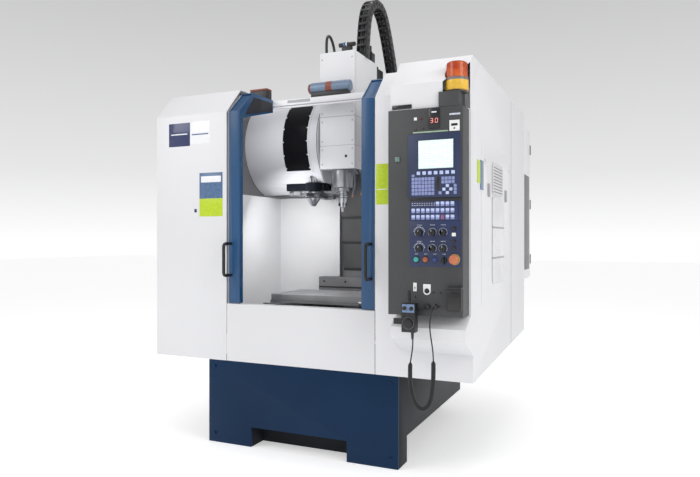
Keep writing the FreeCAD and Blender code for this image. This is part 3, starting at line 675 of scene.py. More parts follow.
for node, finish, slot in (
    ("button_start", rubbed("button_teal", (0.03, 0.34, 0.33), 0.3, 50, 0.15, 800, 0.05, coat=0.3),
     "button_teal"),
    ("button_hold", rubbed("button_brown", (0.33, 0.085, 0.035), 0.3, 50, 0.15, 800, 0.05, coat=0.3),
     "button_brown"),
):
    low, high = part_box(node)
    x, z = (low[0] + high[0]) / 2, (low[2] + high[2]) / 2
    softened(node, node + "_plunger", 0.001, finish, node)
    folded_block(node + "_cap", (x - 0.0078, low[1] - 0.0022, z - 0.0078),
                 (x + 0.0078, low[1] + 0.0005, z + 0.0078),
                 0.0012, finish, node)
    turned(node + "_bezel", x, z, [(0.0125, 0), (0.0165, 0), (0.0165, 0.003), (0.0150, 0.0045),
                                   (0.0125, 0.0045), (0.0125, 0)],
           black_gloss)
turned("key_switch", 0.805, 1.053, [(0, 0.010), (0.008, 0.010), (0.010, 0.008), (0.013, 0.004),
                                    (0.0145, 0)],
       rubbed("switch_blue", (0.03, 0.05, 0.16), 0.35, 50, 0.2, 800, 0.06))
turned("mode_switch_collar", 0.848, 1.050, [(0, 0.006), (0.012, 0.006), (0.0145, 0.003), (0.0150, 0)],
       black_gloss)
on_panel("mode_switch_lever", 0.8445, 0.8515, 1.030, 1.066, 0.018, dial_black, 0.0016,
         0.004)
for k, (z, finish) in enumerate(((1.196, black_gloss), (1.168, plate_white), (1.137, black_gloss),
                                 (1.108, black_gloss))):
    on_panel("rocker_%d" % k, 0.886, 0.904, z - 0.008, z + 0.008, 0.007, finish, 0.0015)
estop_low, estop_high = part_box("estop")
ex, ez = (estop_low[0] + estop_high[0]) / 2, (estop_low[2] + estop_high[2]) / 2
estop_red = rubbed("estop_red", (0.50, 0.145, 0.065), 0.35, 30, 0.12, 700, 0.05, coat=0.1)
mushroom = turned("estop_mushroom", ex, ez,
                  [(0, 0.0338), (0.008, 0.0336), (0.015, 0.0322), (0.0200, 0.0290), (0.0220, 0.0250),
                   (0.0220, 0.0210),
                   (0.0200, 0.0195), (0.0130, 0.0185), (0.0109, 0.0170), (0.0109, 0.0), (0.0, 0.0)],
                  estop_red, "estop", 40)
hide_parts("estop")
turned("estop_collar", ex, ez, [(0.0118, 0), (0.025, 0), (0.025, 0.003), (0.023, 0.0045), (0.0118, 0.0045),
                                (0.0118, 0)],
       rubbed("collar_ochre", (0.42, 0.30, 0.08), 0.4, 40, 0.15, 700, 0.06))

# ---- Small fittings on the control box ----
# Above the screen: a lamp, a pilot light, the two-digit tool counter and a card slot. Below: a fuse plate,
# a rotary switch on a round-ended plate, two plugs, a cable gland and a flap over the mains socket.
on_panel("work_lamp_square", 0.706, 0.720, 1.697, 1.711, 0.004, plate_white, 0.001)
turned("pilot_red", 0.741, 1.703, [(0, 0.004), (0.004, 0.0035), (0.006, 0)],
       rubbed("pilot_dark_red", (0.13, 0.015, 0.02), 0.3, 60, 0.2, 800, 0.05), turns=20)
button_spots = [(0.715, 1.653), (0.751, 1.656), (0.800, 0.902), (0.833, 0.901),
                (0.711, 0.880), (0.711, 0.838), (0.829, 0.838)]
for k, (x, z) in enumerate(button_spots):
    turned("plug_button_%d" % k, x, z, [(0, 0.0016), (0.0035, 0.0016), (0.005, 0.0008), (0.0055, 0)],
           black_gloss,
           turns=18)
on_panel("tool_counter", 0.777, 0.829, 1.655, 1.747, 0.006, black_gloss, 0.0012)
digit_red = bpy.data.materials.new("digit_red")
digit_red.use_nodes = True
glow = digit_red.node_tree.nodes["Principled BSDF"]
glow_noise = digit_red.node_tree.nodes.new("ShaderNodeTexNoise")
glow_noise.inputs["Scale"].default_value = 400
glow_ramp = digit_red.node_tree.nodes.new("ShaderNodeValToRGB")
glow_ramp.color_ramp.elements[0].color = (0.75, 0.12, 0.12, 1)
glow_ramp.color_ramp.elements[1].color = (0.95, 0.38, 0.35, 1)
glow_at = digit_red.node_tree.nodes.new("ShaderNodeTexCoord")
digit_red.node_tree.links.new(glow_at.outputs["Object"], glow_noise.inputs["Vector"])
digit_red.node_tree.links.new(glow_noise.outputs["Fac"], glow_ramp.inputs["Fac"])
digit_red.node_tree.links.new(glow_ramp.outputs["Color"], glow.inputs["Base Color"])
digit_red.node_tree.links.new(glow_ramp.outputs["Color"], glow.inputs["Emission Color"])
glow.inputs["Emission Strength"].default_value = 0.8
strokes = {"3": "abgcd", "0": "abcdef"}
segments = {"a": (0, 1, 1), "g": (0, 0, 1), "d": (0, -1, 1), "f": (-1, 0.5, 0), "b": (1, 0.5, 0),
            "e": (-1, -0.5, 0), "c": (1, -0.5, 0)}
bits = []
for digit, middle in (("3", 0.7915), ("0", 0.8145)):
    for stroke in strokes[digit]:
        sx, sz, wide = segments[stroke]
        x, z = middle + sx * 0.0055, 1.690 + sz * 0.0095
        w, h = (0.0045, 0.0011) if wide else (0.0011, 0.0040)
        bits.append(folded_block("stroke", (x - w, panel_y - 0.0066, z - h),
                                 (x + w, panel_y - 0.0058, z + h), 0.0002,
                                 digit_red))
merged("counter_digits", bits)
on_panel("counter_label", 0.791, 0.815, 1.726, 1.732, 0.0066, print_white, 0.0002, 0.0058)
on_panel("card_slot_plate", 0.874, 0.921, 1.637, 1.686, 0.003, plate_white, 0.0008)
on_panel("card_slot_mouth", 0.882, 0.912, 1.660, 1.671, 0.0036, black_gloss, 0.0004,
         0.0025)
on_panel("card_slot_dimple", 0.893, 0.901, 1.646, 1.652, 0.0036, black_gloss, 0.0004,
         0.0025)
keys("card_slot_label", [(0.876 + 0.0056 * c, 1.714) for c in range(9)], 0.0045, 0.008, 0.0006,
     print_white,
     panel_y)
on_panel("power_button_teal", 0.613, 0.635, 1.510, 1.532, 0.005,
         rubbed("power_grey_green", (0.14, 0.24, 0.21), 0.4, 60, 0.15, 700, 0.06),
         0.0012)
folded_block("top_slot_bar", (0.594, -0.954, 1.757), (0.691, -0.9485, 1.776), 0.001, black_gloss)
on_panel("fuse_plate", 0.702, 0.719, 0.905, 0.945, 0.003, plate_white, 0.0008)
on_panel("fuse_plate_mark", 0.707, 0.714, 0.917, 0.927, 0.0036,
         rubbed("mark_olive", (0.25, 0.27, 0.16), 0.5, 60, 0.2, 700, 0.05),
         0.0003, 0.0025)
on_panel("rotary_plate", 0.750, 0.786, 0.908, 0.940, 0.0025, plate_white, 0.0008)
turned("rotary_plate_round", 0.768, 0.908, [(0, 0.0024), (0.0176, 0.0024), (0.018, 0.0018), (0.018, 0)],
       plate_white)
turned("rotary_switch", 0.768, 0.909, [(0, 0.012), (0.007, 0.012), (0.009, 0.010), (0.0115, 0.003),
                                       (0.012, 0.0024)],
       black_gloss)
turned("round_socket", 0.770, 0.836, [(0, 0.004), (0.009, 0.004), (0.010, 0.010), (0.013, 0.010),
                                      (0.0145, 0.007), (0.015, 0)],
       black_gloss)
turned("gland_nut", 0.808, 0.836, [(0.0035, 0.0266), (0.008, 0.0262), (0.0118, 0.022), (0.0118, 0.010),
                                   (0.0142, 0.009), (0.0142, 0.0)],
       black_gloss, turns=12)
on_panel("mains_socket_case", 0.867, 0.934, 0.822, 0.928, 0.022, knob_black, 0.003)
on_panel("mains_socket_flap", 0.870, 0.931, 0.826, 0.906, 0.027, black_gloss, 0.003,
         0.0215)
on_panel("mains_socket_hood", 0.864, 0.936, 0.922, 0.932, 0.030, knob_black, 0.003)

# ---- Signal lamp ----
# A yellow moulded base with a grey clamping ring and a ribbed orange-red dome, on a charcoal bracket.
softened("lamp_base", "lamp_bracket", 0.0012, panel_grey)
dome_low, dome_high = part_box("lamp_dome")
lamp_x, lamp_y = (dome_low[0] + dome_high[0]) / 2, (dome_low[1] + dome_high[1]) / 2


def upright(name, x, y, rings, finish, body="machine", turns=48):
    """A part turned on a vertical axis; rings are (radius, height)."""
    piece = lathed(name, [(r, 0, z) for r, z in rings], (0, 0, 1), (x, y, 0), turns)
    return fixed(piece, finish, body)


lamp_yellow = rubbed("lamp_yellow", (0.78, 0.46, 0.03), 0.32, 30, 0.12, 700, 0.06, coat=0.3)
upright("lamp_drum", lamp_x, lamp_y, [(0, 1.8275), (0.051, 1.8275), (0.0524, 1.830), (0.0524, 1.872),
                                      (0.0524, 1.8745), (0, 1.8745)],
        lamp_yellow)
ring_grey = rubbed("ring_grey", (0.16, 0.15, 0.15), 0.35, 50, 0.2, 700, 0.08)
upright("lamp_ring", lamp_x, lamp_y, [(0, 1.8742), (0.0526, 1.8742), (0.0526, 1.885), (0.0498, 1.8875),
                                      (0, 1.8875)],
        ring_grey)
dome_red = bpy.data.materials.new("dome_orange_red")
dome_red.use_nodes = True
dome_tree = dome_red.node_tree
dome_shader = dome_tree.nodes["Principled BSDF"]
dome_shader.inputs["Roughness"].default_value = 0.15
dome_shader.inputs["Transmission Weight"].default_value = 0.25
dome_at = dome_tree.nodes.new("ShaderNodeTexCoord")
dome_noise = dome_tree.nodes.new("ShaderNodeTexNoise")
dome_noise.inputs["Scale"].default_value = 22
dome_ramp = dome_tree.nodes.new("ShaderNodeValToRGB")
dome_ramp.color_ramp.elements[0].position = 0.35
dome_ramp.color_ramp.elements[1].position = 0.65
dome_ramp.color_ramp.elements[0].color = (0.50, 0.045, 0.012, 1)
dome_ramp.color_ramp.elements[1].color = (0.85, 0.17, 0.025, 1)
dome_tree.links.new(dome_at.outputs["Object"], dome_noise.inputs["Vector"])
dome_tree.links.new(dome_noise.outputs["Fac"], dome_ramp.inputs["Fac"])
dome_tree.links.new(dome_ramp.outputs["Color"], dome_shader.inputs["Base Color"])
dome = upright("lamp_ribbed_dome", lamp_x, lamp_y,
               [(0.0, 1.886), (0.0485, 1.886), (0.0485, 1.948), (0.046, 1.957), (0.038, 1.9615),
                (0.0, 1.962)],
               dome_red, turns=72)
for v in dome.data.vertices:
    dx, dy = v.co.x - lamp_x, v.co.y - lamp_y
    step = round(math.degrees(math.atan2(dy, dx)) / 5)
    if step % 2 and math.hypot(dx, dy) > 0.03:
        v.co.x -= dx * 0.045
        v.co.y -= dy * 0.045
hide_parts("lamp_dome")
upright("lamp_bulb", lamp_x, lamp_y, [(0, 1.8876), (0.012, 1.8876), (0.014, 1.90), (0.014, 1.925),
                                      (0.008, 1.938), (0, 1.940)],
        rubbed("bulb_amber", (0.9, 0.5, 0.2), 0.2, 30, 0.2, 300, 0.05), turns=20)

# ---- Hand-wheel unit ----
# A black moulded hand box that hangs on a bent steel bracket, with a knurled hand wheel, two selectors
# on a pale blue band, and a rubber-sleeved stalk on top.
unit_black = rubbed("hand_box_black", (0.010, 0.010, 0.011), 0.38, 40, 0.25, 700, 0.12)
softened("pendant", "hand_box", 0.003, unit_black)
softened("pendant_bracket", "hand_box_bracket", 0.001, unit_black)
for node in ("pendant_dial", "pendant_axis", "pendant_rate"):
    softened(node, node + "_knob", 0.0012, dial_black, node)
box_low, box_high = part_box("pendant")
band_blue = rubbed("band_pale_blue", (0.16, 0.25, 0.42), 0.4, 60, 0.2, 700, 0.06)
folded_block("hand_box_band", (box_low[0] + 0.004, box_low[1] - 0.0008, 0.814),
             (box_high[0] - 0.004, box_low[1] + 0.001, 0.8515),
             0.0004, band_blue)
scale_marks = []
for k in range(24):
    turn = 2 * math.pi * k / 24
    scale_marks.append((0.702 + 0.0265 * math.sin(turn), 0.765 + 0.0265 * math.cos(turn)))
for x in (0.686, 0.719):
    for k in range(7):
        turn = math.radians(-90 + 30 * k)
        scale_marks.append((x + 0.0125 * math.sin(turn), 0.833 + 0.0125 * math.cos(turn)))
keys("hand_box_scales", scale_marks, 0.0016, 0.0016, 0.0012, print_white, box_low[1])
ridges = []
for k in range(4):
    z = 0.868 + 0.010 * k
    ridges.append(upright("ridge", 0.701, -1.015, [(0.0060, z), (0.0085, z + 0.001), (0.0085, z + 0.006),
                                                   (0.0060, z + 0.007)],
                          unit_black, turns=20))
merged("stalk_sleeve", ridges)
upright("cord_boot", 0.716, -1.015, [(0.0, 0.7245), (0.0075, 0.7245), (0.0070, 0.712), (0.0050, 0.690),
                                     (0.0036, 0.690)],
        unit_black, turns=20)

# ---- Head: cover, casting and motor ----
# A tall folded hood in white stands over the iron head casting, in three lifts with open joints. The
# casting is stove-painted pale grey, and the belt-side motor under the hood is black.
cast_light = rubbed("casting_pale_grey", (0.42, 0.43, 0.45), 0.5, 4, 0.12, 160, 0.5)
softened("head_cover", "head_hood", 0.004, cover_white, "head")
softened("head_casting", "head_iron", 0.003, cast_light, "head")
motor_black = rubbed("motor_black", (0.014, 0.014, 0.015), 0.45, 14, 0.2, 320, 0.3)
softened("spindle_motor", "head_motor", 0.003, motor_black, "head")
hood_low, hood_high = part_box("head_cover")
joints = []
for z, deep in ((1.887, 0.0016), (1.712, 0.0010)):
    for low, high in (
        ((hood_low[0] - 0.0006, hood_low[1] - 0.0006, z),
         (hood_high[0] + 0.0006, hood_low[1] + 0.001, z + deep * 2)),
        ((hood_high[0] - 0.001, hood_low[1], z), (hood_high[0] + 0.0006, hood_high[1], z + deep * 2)),
        ((hood_low[0] - 0.0006, hood_low[1], z), (hood_low[0] + 0.001, hood_high[1], z + deep * 2)),
    ):
        joints.append(folded_block("joint", low, high, 0.0003, seam_grey, "head"))
merged("hood_joints", joints)
folded_block("hood_side_groove", (hood_high[0] - 0.001, hood_low[1] + 0.018, 1.58),
             (hood_high[0] + 0.0005, hood_low[1] + 0.021, 2.272),
             0.0003, seam_grey, "head")
folded_block("hood_mark", (0.052, hood_low[1] - 0.0012, 1.638), (0.067, hood_low[1] + 0.001, 1.654), 0.0005,
             knob_black, "head")
hood_screws = []
for x in (-0.100, 0.100):
    for z in (1.60, 1.69, 1.74, 1.86, 1.91, 2.05, 2.24):
        bpy.ops.object.select_all(action="DESELECT")
        bpy.ops.mesh.primitive_uv_sphere_add(segments=14, ring_count=8, radius=0.0045,
                                             location=(x, hood_low[1], z))
        bpy.context.object.scale = (1, 0.45, 1)
        hood_screws.append(fixed(bpy.context.object, seam_grey, "head"))
merged("hood_screws", hood_screws)

# ---- Fittings on top of the hood ----
# A coolant hose that arches over, a coupling barrel in black and blue on a small saddle, and the
# black connector box that the energy chain's cables enter.


def lying(name, x0, y, z, rings, finish, body="machine", turns=40):
    """A part turned on an axis across the machine; rings are (radius, distance from x0)."""
    piece = upright(name, 0, 0, rings, finish, body, turns)
    piece.data.transform(Matrix.Translation((x0, y, z)) @ Matrix.Rotation(math.radians(90), 4, "Y"))
    return piece


hose_black = rubbed("hose_black", (0.016, 0.016, 0.018), 0.4, 30, 0.25, 500, 0.2)
steel_bright = rubbed("steel_bright", (0.60, 0.61, 0.64), 0.22, 6, 0.08, 260, 0.08, metallic=1.0)
steel_blue = rubbed("coupling_blue", (0.05, 0.14, 0.34), 0.3, 20, 0.15, 400, 0.1, metallic=0.4)
hose("hood_hose", [(-0.100, -0.235, 2.270), (-0.104, -0.235, 2.34), (-0.108, -0.215, 2.41),
                   (-0.108, -0.175, 2.425),
                   (-0.106, -0.135, 2.39), (-0.102, -0.115, 2.33), (-0.100, -0.112, 2.272)], 0.0085,
                   hose_black, "head")
lying("coupling_barrel", -0.031, -0.200, 2.3475,
      [(0, 0), (0.012, 0), (0.0135, 0.002), (0.0135, 0.030), (0.0155, 0.032), (0.0155, 0.062),
       (0.0135, 0.064),
       (0.0135, 0.104), (0.0105, 0.109), (0, 0.109)], motor_black, "head")
lying("coupling_band", 0.000, -0.200, 2.3475, [(0.0156, 0), (0.0161, 0.001), (0.0161, 0.012),
                                               (0.0156, 0.013)], steel_blue,
      "head")
lying("coupling_ring", 0.018, -0.200, 2.3475, [(0.0156, 0), (0.0160, 0.001), (0.0160, 0.007),
                                               (0.0156, 0.008)], steel_bright,
      "head")
folded_block("coupling_saddle", (-0.010, -0.212, 2.2795), (0.055, -0.188, 2.336), 0.002, motor_black,
             "head")
folded_block("chain_connector_box", (0.048, -0.005, 2.2795), (0.108, 0.052, 2.345), 0.004, motor_black,
             "head")
upright("chain_connector_neck", 0.078, 0.024, [(0, 2.344), (0.020, 2.344), (0.020, 2.356), (0.016, 2.360),
                                               (0.016, 2.392), (0, 2.394)],
        motor_black, "head", 28)

# ---- Spindle and its nozzles ----
# The quill housing is ground steel with a nose ring and its screws. In the taper sits a collet holder
# with its gripper groove and an end mill, and two jointed coolant nozzles with copper tips hang beside it.
ground_steel = rubbed("ground_steel", (0.40, 0.41, 0.43), 0.3, 8, 0.10, 340, 0.12, metallic=0.9)
softened("spindle_housing", "quill_housing", 0.003, ground_steel, "head")
nose_screws = []
for k in range(8):
    turn = 2 * math.pi * (k + 0.5) / 8
    nose_screws.append(upright("nose_screw", 0.055 * math.cos(turn), -0.220 + 0.055 * math.sin(turn),
                               [(0, 1.4572), (0.0035, 1.4572), (0.0042, 1.4580), (0.0042, 1.4612),
                                (0, 1.4612)],
                               knob_black, "head", 14))
merged("nose_screws", nose_screws)
holder = upright("tool_holder", 0, -0.220,
                 [(0, 1.315), (0.0072, 1.315), (0.0080, 1.317), (0.0080, 1.342), (0.0175, 1.342),
                  (0.0200, 1.345),
                  (0.0215, 1.356), (0.0262, 1.374), (0.0280, 1.380), (0.0280, 1.400), (0.0255, 1.4015),
                  (0.0315, 1.4025),
                  (0.0315, 1.4115), (0.0272, 1.4160), (0.0272, 1.4220), (0.0315, 1.4265), (0.0315, 1.4355),
                  (0.0300, 1.4362), (0.0300, 2.096), (0, 2.096)],
                 steel_bright, "spindle", 64)
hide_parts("spindle")
nut_slots = []
for k in range(6):
    turn = 2 * math.pi * k / 6
    slot_block = folded_block("nut_slot", (0.0225, -0.0028, 1.350), (0.0272, 0.0028, 1.371), 0.0006,
                              knob_black, "spindle")
    slot_block.data.transform(Matrix.Translation((0, -0.220, 0)) @ Matrix.Rotation(turn, 4, "Z"))
    nut_slots.append(slot_block)
for side in (1, -1):
    nut_slots.append(folded_block("drive_key", (side * 0.0303 - 0.0027, -0.2275, 1.4290),
                                  (side * 0.0303 + 0.0027, -0.2125, 1.4395), 0.001,
                                  knob_black, "spindle"))
merged("holder_slots_and_keys", nut_slots)
copper = rubbed("copper_tip", (0.62, 0.28, 0.12), 0.3, 30, 0.15, 500, 0.1, metallic=1.0)
nozzle_grey = rubbed("nozzle_grey", (0.10, 0.11, 0.13), 0.4, 40, 0.2, 500, 0.1)
for label, top, knee, tip in (("near", (0.078, -0.250, 1.572), (0.098, -0.250, 1.500),
                               (0.075, -0.235, 1.417)),
                              ("far", (0.090, -0.200, 1.572), (0.128, -0.205, 1.505),
                               (0.122, -0.212, 1.430))):
    hose("nozzle_hose_" + label, [top, ((top[0] + knee[0]) / 2 + 0.006, top[1], 1.54), knee,
                                  ((knee[0] + tip[0]) / 2 + 0.006, (knee[1] + tip[1]) / 2, 1.46), tip],
                                  0.0055, nozzle_grey, "head")
    aim = (Vector(tip) - Vector(knee)).normalized()
    hose("nozzle_tip_" + label, [Vector(tip) - aim * 0.006, Vector(tip) + aim * 0.004,
                                 Vector(tip) + aim * 0.016], 0.0042, copper, "head")
    beads = []
    for k in range(7):
        spot = Vector(top).lerp(Vector(knee), k / 6) + Vector((0.006 * math.sin(math.pi * k / 6), 0, 0))
        bpy.ops.object.select_all(action="DESELECT")
        bpy.ops.mesh.primitive_uv_sphere_add(segments=16, ring_count=10, radius=0.0078, location=spot)
        beads.append(fixed(bpy.context.object, nozzle_grey, "head"))
    merged("nozzle_beads_" + label, beads)

# ---- Energy chain ----
# Moulded black links pinned end to end carry the head's cables from the hood up, over and down to a
# bracket behind the column. Each link is two side cheeks and two cross bars; the cables run inside.
chain_black = rubbed("chain_black", (0.013, 0.013, 0.014), 0.42, 30, 0.25, 420, 0.2)
cable_grey = rubbed("cable_grey", (0.055, 0.058, 0.065), 0.45, 30, 0.25, 420, 0.2)
chain_x, chain_half, link_half = 0.090, 0.035, 0.0265
chain_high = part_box("energy_chain")[1]
chain_line = [(-0.110, 2.286), (-0.098, 2.432), (-0.058, 2.584), (0.020, 2.662), (0.120, 2.684),
              (0.210, 2.650),
              (0.280, 2.560), (0.350, 2.440), (0.415, 2.310), (0.468, 2.195)]
guide = smooth_line("chain_guide", [(chain_x, y, z) for y, z in chain_line])
guide_mesh = bpy.data.meshes.new_from_object(guide)
bpy.data.objects.remove(guide)
way = [v.co.copy() for v in guide_mesh.vertices]
reach = [0.0]
for a, b in zip(way, way[1:]):
    reach.append(reach[-1] + (b - a).length)
link_count = 24
pitch = reach[-1] / link_count
cheek = pitch * 0.60
plan = []
for x in (-chain_half + 0.0035, chain_half - 0.0035):
    plan.append(((x - 0.0035, -cheek, -link_half), (x + 0.0035, cheek - 0.004, link_half), 0.0032))
for z in (-link_half + 0.002, link_half - 0.002):
    plan.append(((-chain_half, -0.008, z - 0.002), (chain_half, 0.008, z + 0.002), 0.0012))
for x in (-chain_half - 0.0012, chain_half + 0.0012):
    plan.append(((x - 0.0012, -0.007 - pitch * 0.36, -0.007), (x + 0.0012, 0.007 - pitch * 0.36, 0.007),
                 0.0010))
first_link = merged("first_link", [folded_block("part", low, high, edge, chain_black, "head")
                                   for low, high, edge in plan])
links = []
for k in range(link_count):
    middle, ahead = along((k + 0.5) * pitch)
    across = Vector((1, 0, 0))
    out = across.cross(ahead).normalized()
    frame_of_link = Matrix((across, ahead, out)).transposed().to_4x4()
    link = first_link.copy()
    link.data = first_link.data.copy()
    bpy.context.collection.objects.link(link)
    link.data.transform(Matrix.Translation(middle) @ frame_of_link)
    links.append(link)
bpy.data.objects.remove(first_link)
chain = merged("energy_chain_links", links)
for v in chain.data.vertices:
    v.co.z = min(v.co.z, chain_high[2])
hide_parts("energy_chain")
strands = [chain]
for k, (x, z, r, finish) in enumerate(((0.070, 0.004, 0.0085, cable_grey),
                                       (0.088, -0.005, 0.0075, hose_black),
                                       (0.104, 0.003, 0.0095, cable_grey),
                                       (0.117, -0.006, 0.005, hose_black))):
    run = hose("chain_cable_%d" % k, [(x, y + z * 0.6, h + z * 0.6) for y, h in chain_line], r, finish,
               "head")
    strands.append(run)
for piece in strands:
    world = piece.matrix_world.copy()
    piece.parent = None
    piece.matrix_world = world
    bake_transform(piece)
bpy.ops.object.select_all(action="DESELECT")
folded_block("chain_end_on_hood", (0.056, -0.142, 2.2795), (0.124, -0.078, 2.300), 0.003, chain_black,
             "head")
folded_block("chain_end_on_column", (0.056, 0.436, 2.181), (0.124, 0.498, 2.204), 0.003, chain_black)

# ---- Tool magazine ----
# A drum of rolled white sheet with a smoked window let into its front, over a disc of tool pots. The
# frame and the arm's drive are cast iron painted dark; the disc is turned aluminium.
silver_white = rubbed("drum_silver_white", (0.66, 0.665, 0.70), 0.45, 1.5, 0.06, 360, 0.1)
softened("magazine_cover", "magazine_drum", 0.002, silver_white)
mechanism = softened("magazine_frame", "magazine_frame_and_drive", 0.003, black_iron_and_base_shade)
mechanism.data.materials.append(cast_light)
for face in mechanism.data.polygons:
    if face.center.z < 1.51 and face.center.x < -0.33:
        face.material_index = 1
disc_alloy = rubbed("disc_alloy", (0.46, 0.47, 0.49), 0.32, 7, 0.12, 300, 0.15, metallic=0.9)
disc_low, disc_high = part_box("magazine_disc")
drum_low, drum_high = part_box("magazine_cover")
drum_y, drum_z = (disc_low[1] + disc_high[1]) / 2, (disc_low[2] + disc_high[2]) / 2
drum_radius = drum_high[2] - drum_z
disc = softened("magazine_disc", "tool_disc", 0.0015, disc_alloy, "magazine_disc")
disc.data.materials.append(grip_black)
disc.data.materials.append(steel_bright)
for face in disc.data.polygons:
    if face.center.x > -0.3645:
        face.material_index = 2
    elif face.center.x > -0.4255:
        face.material_index = 1


def curved_plate(name, x0, x1, low_angle, high_angle, proud, finish):
    """A thin plate that lies on the drum's curved front between two angles from level."""
    bpy.ops.object.select_all(action="DESELECT")
    bpy.ops.mesh.primitive_grid_add(x_subdivisions=2, y_subdivisions=48, size=1, location=(0, 0, 0))
    plate = bpy.context.object
    plate.name = name
    for v in plate.data.vertices:
        turn = math.radians(low_angle + (high_angle - low_angle) * (v.co.y + 0.5))
        x = x0 + (x1 - x0) * (v.co.x + 0.5)
        v.co = (x, drum_y - (drum_radius + proud) * math.cos(turn),
                drum_z + (drum_radius + proud) * math.sin(turn))
    skin = plate.modifiers.new("thickness", "SOLIDIFY")
    skin.thickness = 0.003
    skin.offset = 0
    bpy.ops.object.modifier_apply(modifier="thickness")
    return fixed(plate, finish)


smoked_dark = rubbed("smoked_window", (0.006, 0.006, 0.008), 0.35, 3, 0.3, 200, 0.03)
smoked_dark.node_tree.nodes["Principled BSDF"].inputs["Specular IOR Level"].default_value = 0.12
curved_plate("drum_window", -0.366, -0.190, -34, 66, 0.0012, smoked_dark)
curved_plate("drum_window_rim_left", -0.374, -0.364, -35, 67, 0.0022, silver_white)
curved_plate("drum_window_rim_right", -0.192, -0.182, -35, 67, 0.0022, silver_white)
curved_plate("drum_window_rim_foot", -0.374, -0.182, -35.5, -33.5, 0.0022, silver_white)
rim_screws = []
for k in range(7):
    turn = math.radians(-30 + 15 * k)
    for x in (-0.360, -0.196):
        bpy.ops.object.select_all(action="DESELECT")
        spot = (x, drum_y - (drum_radius + 0.0035) * math.cos(turn),
                drum_z + (drum_radius + 0.0035) * math.sin(turn))
        bpy.ops.mesh.primitive_uv_sphere_add(segments=14, ring_count=8, radius=0.0042, location=spot)
        rim_screws.append(fixed(bpy.context.object, plate_white))
merged("drum_window_screws", rim_screws)
for label, x in (("left", drum_low[0] + 0.004), ("right", drum_high[0] - 0.004)):
    bpy.ops.object.select_all(action="DESELECT")
    curved_plate("drum_seam_" + label, x - 0.0015, x + 0.0015, -75, 175, 0.0003, knob_black)

# ---- Tool change arm ----
# A forged double-ended arm of ground steel, with black bolts at its jaws, on a splined shaft with a cone
# nut.
arm_steel = rubbed("arm_steel", (0.30, 0.31, 0.33), 0.3, 9, 0.15, 320, 0.2, metallic=0.9)
softened("tool_arm", "change_arm", 0.002, arm_steel, "tool_arm")
softened("arm_hub", "arm_shaft", 0.001, steel_bright, "arm_hub")
arm_low, arm_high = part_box("tool_arm")
arm_x, arm_y = (arm_low[0] + arm_high[0]) / 2, (arm_low[1] + arm_high[1]) / 2
jaw_bolts = []
for step in (-0.125, -0.085, 0.085, 0.125):
    jaw_bolts.append(upright("jaw_bolt", arm_x, arm_y + step,
                             [(0, 1.4032), (0.0040, 1.4032), (0.0050, 1.4042), (0.0050, 1.4066),
                              (0, 1.4066)],
                             knob_black, "tool_arm", 6))
merged("arm_jaw_bolts", jaw_bolts)

# ---- Table and saddle ----
# The table is fine-grained iron, planed on top with three T-slots and a dog groove along its front
# edge. It rides on a cast saddle with ground rails, and the saddle carries the cross motor.
table_iron = rubbed("table_iron", (0.29, 0.29, 0.305), 0.42, 5, 0.20, 240, 0.25, metallic=0.15)
softened("table", "t_slot_table", 0.0015, table_iron, "table")
table_low, table_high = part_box("table")
# The dog groove is a dark strip along the front edge: painted shade in the groove.
folded_block("dog_groove", (table_low[0] + 0.0005, table_low[1] - 0.0006, 0.789),
             (table_high[0] - 0.0005, table_low[1] + 0.001, 0.794),
             0.0003, painted_slit_shade, "table")
dogs = []
for x in (0.262,):
    dogs.append(folded_block("dog", (x - 0.012, table_low[1] - 0.009, 0.781),
                             (x + 0.012, table_low[1] + 0.0005, 0.800), 0.002,
                             steel_bright, "table"))
merged("trip_dogs", dogs)
saddle_iron = rubbed("saddle_iron", (0.19, 0.195, 0.205), 0.45, 5, 0.18, 200, 0.4, metallic=0.2)
softened("saddle", "saddle_casting", 0.003, saddle_iron, "saddle")
softened("x_motor", "cross_motor", 0.003, motor_black, "saddle")
motor_low, motor_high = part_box("x_motor")
fins = []
for k in range(6):
    x = motor_low[0] + 0.018 + 0.013 * k
    fins.append(folded_block("fin", (x, motor_low[1] - 0.0025, motor_low[2] + 0.006),
                             (x + 0.005, motor_high[1] + 0.0025, motor_high[2] - 0.004),
                             0.0012, motor_black, "saddle"))
merged("cross_motor_fins", fins)

# ---- Ball screws ----
# Ground steel screws with a rolled thread, drawn in the finish as a wound ridge of the screw's lead.


def threaded(name, axis):
    """Bright steel with a thread that winds round the axis."""
    finish = rubbed(name, (0.45, 0.46, 0.48), 0.25, 12, 0.1, 300, 0.1, metallic=1.0)
    tree = finish.node_tree
    winding = tree.nodes.new("ShaderNodeTexWave")
    winding.bands_direction = axis
    winding.inputs["Scale"].default_value = 20
    at = next(n for n in tree.nodes if n.type == "TEX_COORD")
    relief = next(n for n in tree.nodes if n.type == "BUMP")
    tree.links.new(at.outputs["Object"], winding.inputs["Vector"])
    tree.links.new(winding.outputs["Fac"], relief.inputs["Height"])
    relief.inputs["Strength"].default_value = 0.9
    relief.inputs["Distance"].default_value = 0.004
    return finish


for node, axis in (("x_screw", "X"), ("y_screw", "Y"), ("z_screw", "Z")):
    screw = softened(node, node + "_thread", 0.001, threaded("thread_" + axis.lower(), axis),
                     node)
    low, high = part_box(node)
    for v in screw.data.vertices:
        for k in range(3):
            middle = (low[k] + high[k]) / 2
            if "XYZ"[k] != axis:
                v.co[k] = middle + (v.co[k] - middle) * 0.985

